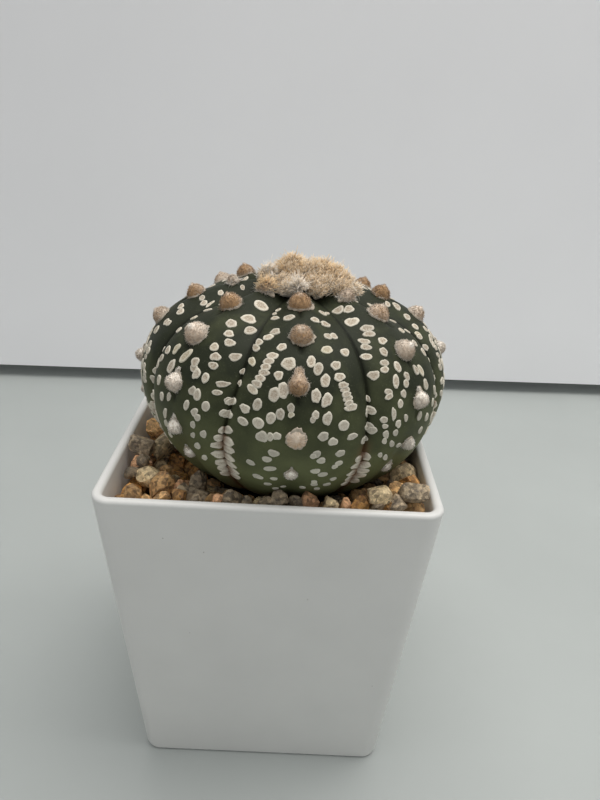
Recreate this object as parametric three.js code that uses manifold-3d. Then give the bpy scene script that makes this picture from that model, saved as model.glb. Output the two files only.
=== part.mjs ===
// A potted super kabuto star cactus: a domed plant of eight ribs, flecked with white scale tufts,
// with a woolly tuft at each spine point, in a square plastic pot topped with gravel.
// Millimetres, +Z up. The pot stands on z = 0, its middle is the origin, and its front looks along -Y.
import * as THREE from "three";
import { mergeVertices } from "three/addons/utils/BufferGeometryUtils.js";
import Module from "manifold-3d";

const wasm = await Module();
wasm.setup();

// Pot
const POT_HEIGHT = 80;
const RIM_WIDTH = 70;
const BASE_WIDTH = 59.3;
const WALL = 2.1;
const FLOOR = 2.2;
const OUTER_CORNER = 4;
const INNER_CORNER = 2.4;
const CORNER_STEPS = 4;
const RIM_ROUNDING = 0.9;
const RIM_SHOULDER = 0.27;
const RIM_INNER_ROUNDING = 0.54;
const BASE_ROUNDING = 0.9;
const DRAIN_RADIUS = 3.2;
const DRAIN_OFFSET = 12;
const DRAIN_SIDES = 20;

// Filling: soil up to SOIL_TOP, then a bed of gravel with a ring of stones standing out of it
const CLEARANCE = 0.3;
const SOIL_TOP = 71;
const BED_TOP = 74;
const GRAVEL_LIMIT = 79;
const STONE_SPACING = 5.8;
const STONE_SIZE = 2.8;
const STONE_LEVEL = 74.8;
const STONE_SHIFT = 0.6;
const STONE_RAGGEDNESS = 0.22;
const STONE_FLATNESS = 0.85;
const BARE_RADIUS = 18;

// Plant: its own frame has its middle at the widest place, its crown up and its front rib along -Y
const RIBS = 8;
const PLANT_RADIUS = 34.5;
const DOME_HEIGHT = 24.9;
const UNDERSIDE_DEPTH = 27.5;
const UNDERSIDE_TAPER = 0.05;
const PLANT_CENTRE = [3.72, 0, 93.9];
const LEAN_SIDEWAYS = 0.9;
const LEAN_BACK = 2.2;
const FRONT_RIB_TURN = 3.5;
const RIB_BULGE = 0.035;
const GROOVE_DEPTH = 0.02;
const GROOVE_WIDTH = 0.13;
const FURROW_DEPTH = 0.045;
const FURROW_WIDTH = 0.24;
const FURROW_END = 35;
const CROWN_DIP = 3;
const CROWN_RELIEF = 3.3;
const RELIEF_START = 3;
const ROOT_RADIUS = 5;
const ROOT_DEPTH = 18;
const ROOT_TIP = 0.4;
const ROOT_SHOULDER = 0.4;

// Degrees that the rib middles and grooves stray to the right, every half rib round from the front one.
// The upper ones hold above SWAY_HIGH, the lower ones below SWAY_LOW.
const UPPER_SWAY = [-1.8, 0.7, -2, -2, 0, 0, 0, 0, 0, 0, 0, 0, 0.5, 1.3, 0.7, 0.5];
const LOWER_SWAY = [-1.9, 0.8, -8, -4, 0, 1, 0, -1, 0, 1, 0, 0, 1, 1.4, 3, -4.5];
const SWAY_HIGH = 30;
const SWAY_LOW = -15;

// The body's mesh: places across each rib, where 1 is the groove, and rings of latitude
const RIB_COLUMNS = [-0.88, -0.5, 0, 0.5, 0.88, 1];
const RINGS = [-90, -62, -44, -31, -20, -9, 2, 14, 26, 38, 49, 59, 68, 77, 90];

// Spine points on each rib, in degrees of latitude below the rib's first grown one. Each rib's points
// start lower than its neighbour's, and fall is the share of that drop which a point follows.
const FIRST_AREOLE = 63;
const SPIRAL_DROP = 17;
const SPIRAL_STEP = 3;
const AREOLES = [
  { below: -15, fall: 1, across: 3.4, height: 1.5, tip: 0 },
  { below: 0, fall: 1, across: 4.7, height: 2.5, tip: 0 },
  { below: 18, fall: 1.15, across: 4.8, height: 2.7, tip: 0 },
  { below: 40, fall: 1.25, across: 4.1, height: 1.8, tip: 1.7 },
  { below: 62.5, fall: 0.85, across: 4.1, height: 1.1, tip: 1.3 },
  { below: 79.5, fall: 0.5, across: 2.5, height: 0.8, tip: 1.2 },
];
const AREOLE_SIDES = 6;
const AREOLE_FOOT = 0.54;
const AREOLE_SHOULDER = { out: 0.36, up: 0.7 };
const AREOLE_STRAY = 0.03;
const HIGHEST_AREOLE = 72;

// Rows of flecks on each half of a rib: each runs down and outwards from near the middle line.
// Latitudes are for the front rib; out is the share of the way to the groove.
const FLECK_ROWS = [
  { from: 65, to: 62, outFrom: 0.62, outTo: 0.8, flecks: 1, size: 2.2 },
  { from: 56, to: 40, outFrom: 0.34, outTo: 0.84, flecks: 3, size: 2.5 },
  { from: 38, to: 21, outFrom: 0.46, outTo: 0.76, flecks: 3, size: 2.5 },
  { from: 32, to: 27, outFrom: 0.2, outTo: 0.36, flecks: 1, size: 2.4 },
  { from: 18, to: 12, outFrom: 0.34, outTo: 0.8, flecks: 2, size: 2.4 },
  { from: 8, to: 6, outFrom: 0.5, outTo: 0.62, flecks: 1, size: 2.2 },
  { from: -1, to: -2, outFrom: 0.55, outTo: 0.7, flecks: 1, size: 2.2 },
  { from: -8, to: -12, outFrom: 0.32, outTo: 0.68, flecks: 2, size: 1.9 },
  { from: -20, to: -22, outFrom: 0.45, outTo: 0.65, flecks: 1, size: 1.7 },
];
const FLECK_SIDES = 5;
const FLECK_HEIGHT = 0.6;
const FLECK_EDGE = 0.35;
const FLECK_SPREAD = 0.76;
const FLECK_ROOT = 0.7;
const FLECK_STRETCH = { width: 1.1, length: 0.82 };
const FLECK_STRAY = { latitude: 1.5, out: 0.04, size: 0.15, roll: 0.5 };
const FLECK_ROLL = 0.25;
const LOWEST_FLECK = -25;

// Pairs of scales over the lower part of each groove
const SEAM_FROM = 3;
const SEAM_TO = -27;
const SEAM_PAIRS = 3;
const SEAM_SIDES = 4;
const SEAM_SIZE = 2.2;
const SEAM_OUT = 0.055;
const SEAM_ROLL = 0.35;

// Crown wool: a cushion, and the matted tufts that stand out of it, in the plant's own frame
const CUSHION = { x: 1.6, y: -2.3, width: 8.4, length: 6.4, height: 2.6, level: 23.4 };
const WOOL_TUFTS = [
  { x: -2.3, y: -2.2, radius: 2.7, top: 27.2 },
  { x: -1.2, y: 0.6, radius: 2.4, top: 26.3 },
  { x: 2, y: -3.4, radius: 2.6, top: 26.3 },
  { x: 4.2, y: -2.6, radius: 2.6, top: 26.6 },
  { x: 7.2, y: -3.4, radius: 2.5, top: 25.7 },
  { x: 5.6, y: -0.6, radius: 2.4, top: 25.4 },
  { x: 9, y: -5.2, radius: 2.2, top: 24.2 },
  { x: 8, y: -7.4, radius: 2.2, top: 23.4 },
  { x: 10.6, y: -6.9, radius: 1.9, top: 22.9 },
  { x: 4, y: -6.4, radius: 2.2, top: 23.8 },
  { x: -0.8, y: -7.2, radius: 2, top: 23.6 },
  { x: -3.8, y: -5.6, radius: 1.9, top: 23.4 },
  { x: -6.9, y: -3, radius: 2, top: 24.4 },
  { x: -4.6, y: 0.2, radius: 2, top: 24.6 },
  { x: 0.4, y: 3.2, radius: 2.3, top: 25.2 },
  { x: 3.8, y: 2.3, radius: 2.3, top: 25.3 },
];
const TUFT_SINK = 0.6;

const SEED = 4.2;
const FINEST = 0.06;
const RIB_ANGLE = (2 * Math.PI) / RIBS;
const { degToRad: degrees, lerp, smoothstep, euclideanModulo } = THREE.MathUtils;

// A repeatable draw from 0 to 1, told apart by up to three whole numbers.
function draw(a, b = 0, c = 0) {
  const wave = Math.sin(a * 12.9898 + b * 78.233 + c * 37.719 + SEED) * 43758.5453;
  return wave - Math.floor(wave);
}

function spread(a, b, c) {
  return 2 * draw(a, b, c) - 1;
}

// Solids for joining and cutting
function bareMesh(geometry) {
  const bare = new THREE.BufferGeometry();
  bare.setAttribute("position", geometry.getAttribute("position"));
  bare.setIndex(geometry.index);
  return mergeVertices(bare, 1e-4);
}

function solidOf(geometry) {
  const merged = bareMesh(geometry);
  return new wasm.Manifold(
    new wasm.Mesh({
      numProp: 3,
      vertProperties: new Float32Array(merged.attributes.position.array),
      triVerts: new Uint32Array(merged.index.array),
    }),
  );
}

function geometryOf(solid) {
  const mesh = solid.getMesh();
  const geometry = new THREE.BufferGeometry();
  geometry.setAttribute("position", new THREE.BufferAttribute(mesh.vertProperties, 3));
  geometry.setIndex(new THREE.BufferAttribute(mesh.triVerts, 1));
  return geometry;
}

function joined(solids) {
  return solids.reduce((whole, solid) => whole.add(solid));
}

// The main body of a solid, without the loose scraps that a cut leaves and with sealed hollows filled.
function mainBody(solid) {
  const bodies = solid.simplify(FINEST).decompose();
  return bodies.reduce((best, body) => (body.volume() > best.volume() ? body : best));
}

// A solid turned on the lathe round the z axis from radii and heights.
function turned(points, sides) {
  const profile = points.map(([radius, z]) => new THREE.Vector2(radius, z));
  return new THREE.LatheGeometry(profile, sides).rotateX(Math.PI / 2);
}

// Pot shapes: a profile of half-widths and heights turned on the lathe, then squared off
function squareOutline(half, corner) {
  const outline = [];
  const inset = half - corner;
  const middles = [
    [1, 1],
    [-1, 1],
    [-1, -1],
    [1, -1],
  ];
  middles.forEach(([sideX, sideY], quarter) => {
    for (let step = 0; step <= CORNER_STEPS; step += 1) {
      const turn = (quarter + step / CORNER_STEPS) * (Math.PI / 2);
      outline.push([sideX * inset + corner * Math.cos(turn), sideY * inset + corner * Math.sin(turn)]);
    }
  });
  return outline;
}

function squaredLathe(profile) {
  const sides = 4 * (CORNER_STEPS + 1);
  const points = profile.map(({ half, z }) => new THREE.Vector2(half, z));
  const geometry = new THREE.LatheGeometry(points, sides);
  const position = geometry.getAttribute("position");
  for (let index = 0; index < position.count; index += 1) {
    const level = profile[index % profile.length];
    const side = Math.floor(index / profile.length) % sides;
    const [x, y] = level.half > 0 ? squareOutline(level.half, level.corner)[side] : [0, 0];
    position.setXYZ(index, x, y, level.z);
  }
  return geometry;
}

function potHalfWidth(z) {
  return lerp(BASE_WIDTH, RIM_WIDTH, z / POT_HEIGHT) / 2;
}

function insideHalfWidth(z) {
  return potHalfWidth(z) - WALL;
}

// A straight-sided filling of the pot between two heights, clear of its walls.
function fillingBlock(low, high) {
  const level = (z) => ({ half: insideHalfWidth(z) - CLEARANCE, z, corner: INNER_CORNER });
  return solidOf(squaredLathe([{ half: 0, z: low }, level(low), level(high), { half: 0, z: high }]));
}

function potSolid() {
  const outside = (z, inset = 0) => ({ half: potHalfWidth(z) - inset, z, corner: OUTER_CORNER - inset });
  const inside = (z, inset = 0) => ({ half: insideHalfWidth(z) + inset, z, corner: INNER_CORNER + inset });
  const profile = [
    { half: 0, z: 0 },
    outside(0, BASE_ROUNDING),
    outside(BASE_ROUNDING),
    outside(POT_HEIGHT - RIM_ROUNDING),
    outside(POT_HEIGHT - RIM_SHOULDER, RIM_SHOULDER),
    outside(POT_HEIGHT, RIM_ROUNDING),
    inside(POT_HEIGHT, RIM_INNER_ROUNDING),
    inside(POT_HEIGHT - RIM_INNER_ROUNDING),
    inside(FLOOR),
    { half: 0, z: FLOOR },
  ];
  let pot = solidOf(squaredLathe(profile));
  for (const [sideX, sideY] of [[1, 1], [-1, 1], [-1, -1], [1, -1]]) {
    const drain = new THREE.CylinderGeometry(DRAIN_RADIUS, DRAIN_RADIUS, 3 * FLOOR, DRAIN_SIDES);
    drain.rotateX(Math.PI / 2);
    drain.translate(sideX * DRAIN_OFFSET, sideY * DRAIN_OFFSET, FLOOR / 2);
    pot = pot.subtract(solidOf(drain));
  }
  return pot;
}

// Plant surface: turn is the angle round from the front rib, latitude is 90 degrees at the crown
function acrossRib(turn) {
  const share = turn / RIB_ANGLE + 0.5;
  return 2 * (share - Math.floor(share)) - 1;
}

// How far a rib's middle line or a groove strays from an even spacing.
function sway(turn, latitude) {
  const step = euclideanModulo((2 * turn) / RIB_ANGLE, 2 * RIBS);
  const first = Math.floor(step) % (2 * RIBS);
  const second = (first + 1) % (2 * RIBS);
  const share = step - Math.floor(step);
  const upper = lerp(UPPER_SWAY[first], UPPER_SWAY[second], share);
  const lower = lerp(LOWER_SWAY[first], LOWER_SWAY[second], share);
  const low = smoothstep(-latitude, degrees(-SWAY_HIGH), degrees(-SWAY_LOW));
  return degrees(lerp(upper, lower, low));
}

// The share of the radius that the rib's roundness, its groove and its lower furrow take away.
function hollowing(across, latitude) {
  const bulge = RIB_BULGE * across ** 2;
  const groove = GROOVE_DEPTH * Math.exp(-(((1 - across) / GROOVE_WIDTH) ** 2));
  const low = smoothstep(-latitude, 0, degrees(FURROW_END));
  const furrow = FURROW_DEPTH * low * Math.exp(-((across / FURROW_WIDTH) ** 2));
  return bulge + groove + furrow;
}

function surfacePoint(turn, latitude) {
  const across = Math.abs(acrossRib(turn));
  const above = Math.max(Math.sin(latitude), 0);
  const below = Math.max(-Math.sin(latitude), 0);
  const taper = 1 - UNDERSIDE_TAPER * below ** 2;
  const radius = PLANT_RADIUS * Math.cos(latitude) * (1 - hollowing(across, latitude)) * taper;
  const relief = (CROWN_RELIEF * across ** 2 * radius) / (radius + RELIEF_START);
  const z = DOME_HEIGHT * above - UNDERSIDE_DEPTH * below - (CROWN_DIP + relief) * above ** 3;
  const place = turn + sway(turn, latitude);
  return new THREE.Vector3(radius * Math.sin(place), -radius * Math.cos(place), z);
}

// The matrix that seats a piece on the surface: x runs round the plant, y up the rib, z straight out.
function seatOn(turn, latitude, roll = 0) {
  const step = 0.02;
  const east = surfacePoint(turn + step, latitude).sub(surfacePoint(turn - step, latitude)).normalize();
  const north = surfacePoint(turn, latitude + step).sub(surfacePoint(turn, latitude - step)).normalize();
  const out = east.clone().cross(north).normalize();
  const seat = new THREE.Matrix4().makeBasis(east, out.clone().cross(east), out);
  seat.multiply(new THREE.Matrix4().makeRotationZ(roll));
  return seat.setPosition(surfacePoint(turn, latitude));
}

function ribbedBody() {
  const profile = RINGS.map((ring) => new THREE.Vector2(Math.abs(ring) < 90 ? 1 : 0, ring));
  const columns = RIBS * RIB_COLUMNS.length;
  const geometry = new THREE.LatheGeometry(profile, columns);
  const position = geometry.getAttribute("position");
  for (let index = 0; index < position.count; index += 1) {
    const column = Math.floor(index / RINGS.length) % columns;
    const rib = Math.floor(column / RIB_COLUMNS.length);
    const turn = (rib + RIB_COLUMNS[column % RIB_COLUMNS.length] / 2) * RIB_ANGLE;
    const point = surfacePoint(turn, degrees(RINGS[index % RINGS.length]));
    position.setXYZ(index, point.x, point.y, point.z);
  }
  return solidOf(geometry);
}

function root() {
  const points = [
    [0, -ROOT_DEPTH],
    [ROOT_RADIUS * ROOT_TIP, -ROOT_DEPTH],
    [ROOT_RADIUS * 0.8, -ROOT_DEPTH * ROOT_SHOULDER],
    [ROOT_RADIUS, 2],
    [0, 2],
  ];
  return solidOf(turned(points, 12).translate(0, 0, -UNDERSIDE_DEPTH));
}

// Each rib's points start a little lower than its neighbour's, three eighths of a turn apart.
function dropOf(rib) {
  return euclideanModulo(-SPIRAL_STEP * rib, RIBS) * (SPIRAL_DROP / RIBS);
}

function areoleLatitude(rib, order) {
  const { below, fall } = AREOLES[order];
  return FIRST_AREOLE - dropOf(rib) * fall - below;
}

// A low dome of wool; the older ones are drawn out to a point up the rib.
function areole(rib, order) {
  const { across, height, tip } = AREOLES[order];
  const points = [
    [0, -FLECK_ROOT],
    [across * AREOLE_FOOT, -FLECK_EDGE],
    [across * AREOLE_SHOULDER.out, height * AREOLE_SHOULDER.up],
    [0, height],
  ];
  const geometry = turned(points, AREOLE_SIDES);
  const position = geometry.getAttribute("position");
  for (let index = 0; index < position.count; index += 1) {
    const rise = Math.max(0, position.getY(index) / (across / 2));
    position.setY(index, position.getY(index) + tip * rise ** 3);
  }
  const turn = (rib + AREOLE_STRAY * spread(rib, order, 1)) * RIB_ANGLE;
  return solidOf(geometry.applyMatrix4(seatOn(turn, degrees(areoleLatitude(rib, order)))));
}

// A low scale, wider than it is long, with its edge just under the skin.
function fleck(turn, latitude, size, roll, sides = FLECK_SIDES) {
  const points = [
    [0, -FLECK_ROOT],
    [FLECK_SPREAD, -FLECK_EDGE],
    [0, FLECK_HEIGHT],
  ];
  const scale = turned(points, sides).scale(size * FLECK_STRETCH.width, size * FLECK_STRETCH.length, 1);
  return solidOf(scale.applyMatrix4(seatOn(turn, degrees(latitude), roll)));
}

// The flecks of one row on one side of a rib, -1 for the left or 1 for the right.
function fleckRow(rib, side, row, rowNumber) {
  const flecks = [];
  for (let place = 0; place < row.flecks; place += 1) {
    const along = row.flecks > 1 ? place / (row.flecks - 1) : 0;
    const tag = rowNumber * 20 + place * 2 + (side + 1) / 2;
    const height = lerp(row.from, row.to, along) + FLECK_STRAY.latitude * spread(rib, tag, 2);
    const out = lerp(row.outFrom, row.outTo, along) + FLECK_STRAY.out * spread(rib, tag, 3);
    const size = row.size * (1 + FLECK_STRAY.size * spread(rib, tag, 4));
    const roll = side * (FLECK_ROLL + FLECK_STRAY.roll * spread(rib, tag, 5));
    const latitude = height - dropOf(rib);
    const turn = (rib + (side * out) / 2) * RIB_ANGLE;
    if (latitude > LOWEST_FLECK) flecks.push(fleck(turn, latitude, size, roll));
  }
  return flecks;
}

function ribFlecks(rib) {
  return FLECK_ROWS.flatMap((row, number) => [-1, 1].flatMap((side) => fleckRow(rib, side, row, number)));
}

// Pairs of scales that face each other across the lower part of a groove.
function seamFlecks(rib) {
  const flecks = [];
  for (let pair = 0; pair < SEAM_PAIRS; pair += 1) {
    const latitude = lerp(SEAM_FROM, SEAM_TO, pair / (SEAM_PAIRS - 1));
    for (const side of [-1, 1]) {
      const turn = (rib + 0.5 + side * SEAM_OUT) * RIB_ANGLE;
      flecks.push(fleck(turn, latitude, SEAM_SIZE, side * SEAM_ROLL, SEAM_SIDES));
    }
  }
  return flecks;
}

function cactusBody() {
  const pieces = [ribbedBody(), root()];
  for (let rib = 0; rib < RIBS; rib += 1) {
    const shown = AREOLES.keys().filter((order) => areoleLatitude(rib, order) < HIGHEST_AREOLE);
    pieces.push(...shown.map((order) => areole(rib, order)));
    pieces.push(...ribFlecks(rib), ...seamFlecks(rib));
  }
  return mainBody(joined(pieces));
}

// The outer envelope of the plant and its root, grown by a margin: what the filling is cut back from.
function plantEnvelope(margin) {
  const foot = -UNDERSIDE_DEPTH - ROOT_DEPTH - margin;
  const points = [
    [0, foot],
    [ROOT_RADIUS * ROOT_TIP + margin, foot],
    [ROOT_RADIUS + margin, -UNDERSIDE_DEPTH - ROOT_DEPTH * ROOT_SHOULDER],
  ];
  for (let latitude = -75; latitude <= 0; latitude += 7.5) {
    const below = -Math.sin(degrees(latitude));
    const radius = PLANT_RADIUS * (1 - UNDERSIDE_TAPER * below ** 2) + margin;
    points.push([radius * Math.cos(degrees(latitude)), -(UNDERSIDE_DEPTH + margin) * below]);
  }
  points.push([0, 0]);
  return turned(points, 32);
}

function placePlant(object) {
  object.position.set(...PLANT_CENTRE);
  object.rotation.set(-degrees(LEAN_BACK), degrees(LEAN_SIDEWAYS), degrees(FRONT_RIB_TURN), "XYZ");
  object.updateMatrix();
  return object;
}

function plantCut() {
  const margin = 1.5 * CLEARANCE;
  return solidOf(plantEnvelope(margin).applyMatrix4(placePlant(new THREE.Object3D()).matrix));
}

// A rough stone: a twenty-sided solid with its corners pulled in and out, stretched and turned.
function stone(x, y, index) {
  const solid = bareMesh(new THREE.IcosahedronGeometry(STONE_SIZE, 0));
  const position = solid.getAttribute("position");
  const corner = new THREE.Vector3();
  for (let number = 0; number < position.count; number += 1) {
    const pull = 1 + STONE_RAGGEDNESS * spread(index, number, 6);
    corner.fromBufferAttribute(position, number).multiplyScalar(pull);
    position.setXYZ(number, corner.x, corner.y, corner.z);
  }
  const wide = 1 + STONE_RAGGEDNESS * spread(index, 7);
  const deep = 1 + STONE_RAGGEDNESS * spread(index, 8);
  const tall = STONE_FLATNESS + STONE_RAGGEDNESS * spread(index, 9);
  solid.scale(wide, deep, tall);
  solid.rotateX(STONE_SHIFT * spread(index, 10));
  solid.rotateZ(Math.PI * draw(index, 11));
  solid.translate(x, y, STONE_LEVEL + STONE_SHIFT * spread(index, 12));
  return solidOf(solid);
}

function gravel(cut) {
  const reach = insideHalfWidth(BED_TOP) - STONE_SIZE - CLEARANCE;
  const steps = Math.round((2 * reach) / STONE_SPACING);
  const stones = [];
  for (let row = 0; row <= steps; row += 1) {
    for (let column = 0; column <= steps; column += 1) {
      const index = row * (steps + 1) + column;
      const x = lerp(-reach, reach, column / steps) + STONE_SHIFT * spread(index, 13);
      const y = lerp(-reach, reach, row / steps) + STONE_SHIFT * spread(index, 14);
      if (Math.hypot(x - PLANT_CENTRE[0], y - PLANT_CENTRE[1]) > BARE_RADIUS) stones.push(stone(x, y, index));
    }
  }
  const bed = fillingBlock(SOIL_TOP + CLEARANCE, BED_TOP);
  const room = fillingBlock(SOIL_TOP + CLEARANCE, GRAVEL_LIMIT);
  return mainBody(joined([bed, ...stones]).intersect(room).subtract(cut));
}

// Each tuft stands on the crown's flat middle and reaches up to its own top.
function woolTuft({ x, y, radius, top }) {
  const half = Math.max(radius, (top - DOME_HEIGHT + CROWN_DIP) / 2 + TUFT_SINK);
  const rough = new THREE.IcosahedronGeometry(1, 0).scale(radius, radius, half);
  return solidOf(rough.rotateZ(x + y).translate(x, y, top - half));
}

// The mat of wool lies on the skin and round the young spine points, clear of them.
function crownWool(body) {
  const cushion = new THREE.SphereGeometry(1, 12, 6).rotateX(Math.PI / 2);
  cushion.scale(CUSHION.width, CUSHION.length, CUSHION.height);
  cushion.translate(CUSHION.x, CUSHION.y, CUSHION.level);
  const mat = joined([solidOf(cushion), ...WOOL_TUFTS.map(woolTuft)]);
  return mainBody(mat.subtract(body.translate([0, 0, CLEARANCE])).subtract(body));
}

// Finishes
const whitePlastic = new THREE.MeshStandardMaterial({ color: 0xe9ebe6, roughness: 0.35, metalness: 0 });
const darkSoil = new THREE.MeshStandardMaterial({ color: 0x3a2c20, roughness: 1, metalness: 0 });
const tanGravel = new THREE.MeshStandardMaterial({ color: 0x9a7f62, roughness: 0.85, metalness: 0 });
const greenSkin = new THREE.MeshStandardMaterial({ color: 0x344327, roughness: 0.6, metalness: 0 });
const tanWool = new THREE.MeshStandardMaterial({ color: 0xb39b7c, roughness: 1, metalness: 0 });

function piece(name, solid, material) {
  const mesh = new THREE.Mesh(geometryOf(solid), material);
  mesh.name = name;
  return mesh;
}

const body = cactusBody();
const cut = plantCut();
const plant = placePlant(new THREE.Group());
plant.add(piece("cactus_body", body, greenSkin));
plant.add(piece("crown_wool", crownWool(body), tanWool));

const pottedCactus = new THREE.Group();
pottedCactus.add(piece("pot", potSolid(), whitePlastic));
pottedCactus.add(piece("soil", fillingBlock(FLOOR + CLEARANCE, SOIL_TOP).subtract(cut), darkSoil));
pottedCactus.add(piece("gravel", gravel(cut), tanGravel));
pottedCactus.add(plant);

export default pottedCactus;
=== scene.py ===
"""A potted super kabuto star cactus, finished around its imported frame.

Metres, +Z up, front along -Y, the pot's foot on the floor. The plant's own frame has its middle at the
origin and its crown up; the matrix PLANT puts it in the pot. Turn is the angle round from the front rib,
and latitude is 90 degrees at the crown.
"""

import math
from contextlib import contextmanager

import bmesh
import bpy
import numpy as np
from bpy.props import FloatProperty, FloatVectorProperty, IntProperty, PointerProperty
from mathutils import Euler, Matrix, Vector


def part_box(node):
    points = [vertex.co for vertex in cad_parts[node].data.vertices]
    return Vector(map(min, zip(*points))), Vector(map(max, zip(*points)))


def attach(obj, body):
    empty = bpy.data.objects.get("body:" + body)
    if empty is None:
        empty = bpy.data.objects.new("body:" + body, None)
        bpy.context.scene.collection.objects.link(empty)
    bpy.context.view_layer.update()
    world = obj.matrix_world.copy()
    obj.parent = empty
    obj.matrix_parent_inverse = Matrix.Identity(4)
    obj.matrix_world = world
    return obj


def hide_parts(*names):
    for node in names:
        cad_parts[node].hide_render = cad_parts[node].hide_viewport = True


bl_info = {
    "name": "Potted Star Cactus",
    "version": (1, 0, 0),
    "blender": (4, 5, 0),
    "location": "3D View > Sidebar > Star Cactus",
    "description": "Models a super kabuto star cactus in a square white pot with a gravel top",
    "category": "Object",
}

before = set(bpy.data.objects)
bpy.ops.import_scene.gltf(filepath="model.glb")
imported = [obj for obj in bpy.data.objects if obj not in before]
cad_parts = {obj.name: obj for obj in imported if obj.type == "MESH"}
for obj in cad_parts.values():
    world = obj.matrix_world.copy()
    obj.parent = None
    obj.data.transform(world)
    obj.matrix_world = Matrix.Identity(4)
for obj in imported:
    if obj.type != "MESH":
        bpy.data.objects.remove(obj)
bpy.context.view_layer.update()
POT_LOW, POT_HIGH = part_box("pot")
SOIL_LOW, SOIL_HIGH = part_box("soil")

MM = 0.001
SEED = 4.2

# The plant as the frame has it
RIBS = 8
RIB_ANGLE = 2 * math.pi / RIBS
PLANT = (
    Matrix.Translation(Vector((3.72, 0, 93.9)) * MM)
    @ Matrix.Rotation(math.radians(-2.2), 4, "X")
    @ Matrix.Rotation(math.radians(0.9), 4, "Y")
    @ Matrix.Rotation(math.radians(3.5), 4, "Z")
)
RIB_BULGE = 0.035
FURROW_DEPTH = 0.045
FURROW_WIDTH = 0.24
CROWN_DIP = 3 * MM
CROWN_RELIEF = 3.3 * MM
RELIEF_START = 3 * MM
UNDERSIDE_TAPER = 0.05
# Degrees that the rib middles and grooves stray to the right, every half rib round from the front one
UPPER_SWAY = np.radians([-1.8, 0.7, -2, -2, 0, 0, 0, 0, 0, 0, 0, 0, 0.5, 1.3, 0.7, 0.5])
LOWER_SWAY = np.radians([-1.9, 0.8, -8, -4, 0, 1, 0, -1, 0, 1, 0, 0, 1, 1.4, 3, -4.5])
ROOT_RADIUS = 4.6 * MM
ROOT_DEPTH = 19 * MM
FIRST_AREOLE = 63
SPIRAL_DROP = 17
HIGHEST_AREOLE = 72

# Spine points from the crown down, in degrees below the rib's first grown one. Fall is the share of the
# rib's drop that a point follows, and aside is in degrees to the right. Across, height, the tip that points
# to the crown, the nub on top and the pale fringe round the foot are in millimetres. Tone runs from brown
# wool, 0, to white, 1. The neck is where the tip starts, as a share of half the width, and slim is how much
# thinner it gets there. Collar and wings are the felt's reach as shares of half the width.
AREOLE_KEYS = ("below", "fall", "across", "height", "tip", "nub", "tone", "collar", "wings", "fringe")
COMMON_AREOLE = {"aside": 0, "neck": 0.5, "slim": 0.78, "rosette": 0}
AREOLES = [{**COMMON_AREOLE, **dict(zip(AREOLE_KEYS, row))} for row in (
    (-15, 1, 3.0, 1.7, 0.2, 0.1, 0.5, 1.0, 0.4, 1.0),
    (0, 1.06, 4.4, 2.2, 0, 0.5, -0.04, 1.0, 0.14, 0.4),
    (18, 1.15, 4.5, 2.3, 0, 0.45, 0.36, 1.04, 0.1, 0.3),
    (40, 1.25, 3.3, 1.9, 1.2, 0.12, 0.72, 1.06, 0.14, 0.24),
    (62.5, 0.85, 2.8, 1.6, 1.1, 0.06, 0.86, 1.04, 0.1, 0.16),
    (79.5, 0.5, 2.3, 0.9, 1.2, 0, 1, 1, 0, 0),
)]
# What differs at a rib's own point. The front rib's fourth is bottle-shaped, and its fifth a flat rosette
OWN_AREOLES = {
    (0, 1): {"below": -0.9},
    (0, 2): {"aside": -0.6, "tone": 0.22, "across": 4.25, "wings": 0.04},
    (0, 3): {"across": 3.25, "height": 1.8, "nub": 0, "tip": 1.7, "neck": 0.45, "slim": 0.4, "tone": 0.18},
    (0, 4): {"across": 3.8, "height": 0.6, "tip": 0.5, "nub": 0.2, "tone": 0.26, "collar": 1, "wings": 0,
             "rosette": 0.6},
    (0, 5): {"aside": -1.4, "below": 81.3},
    (1, 1): {"aside": 6.9, "below": -2.1, "tone": 0.3},
    (1, 2): {"aside": 2.2, "below": 16.9, "across": 4.1, "nub": 0.8, "tone": 0.5},
    (1, 3): {"aside": 3.2, "below": 38.8, "tip": 0.9, "tone": 0.78},
    (1, 4): {"aside": 3.2, "across": 2.5, "height": 1.5, "tip": 0, "tone": 1.2},
    (7, 1): {"aside": -2.8},
    (7, 2): {"aside": -2.4, "below": 19, "nub": 0.8, "tone": 0.42},
    (7, 3): {"aside": -3, "below": 41.3},
    (7, 4): {"aside": -3.2, "below": 63.6},
}
RIB_SIZES = (1, 1, 0.88, 0.94, 1, 0.94, 0.88, 1)

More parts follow.
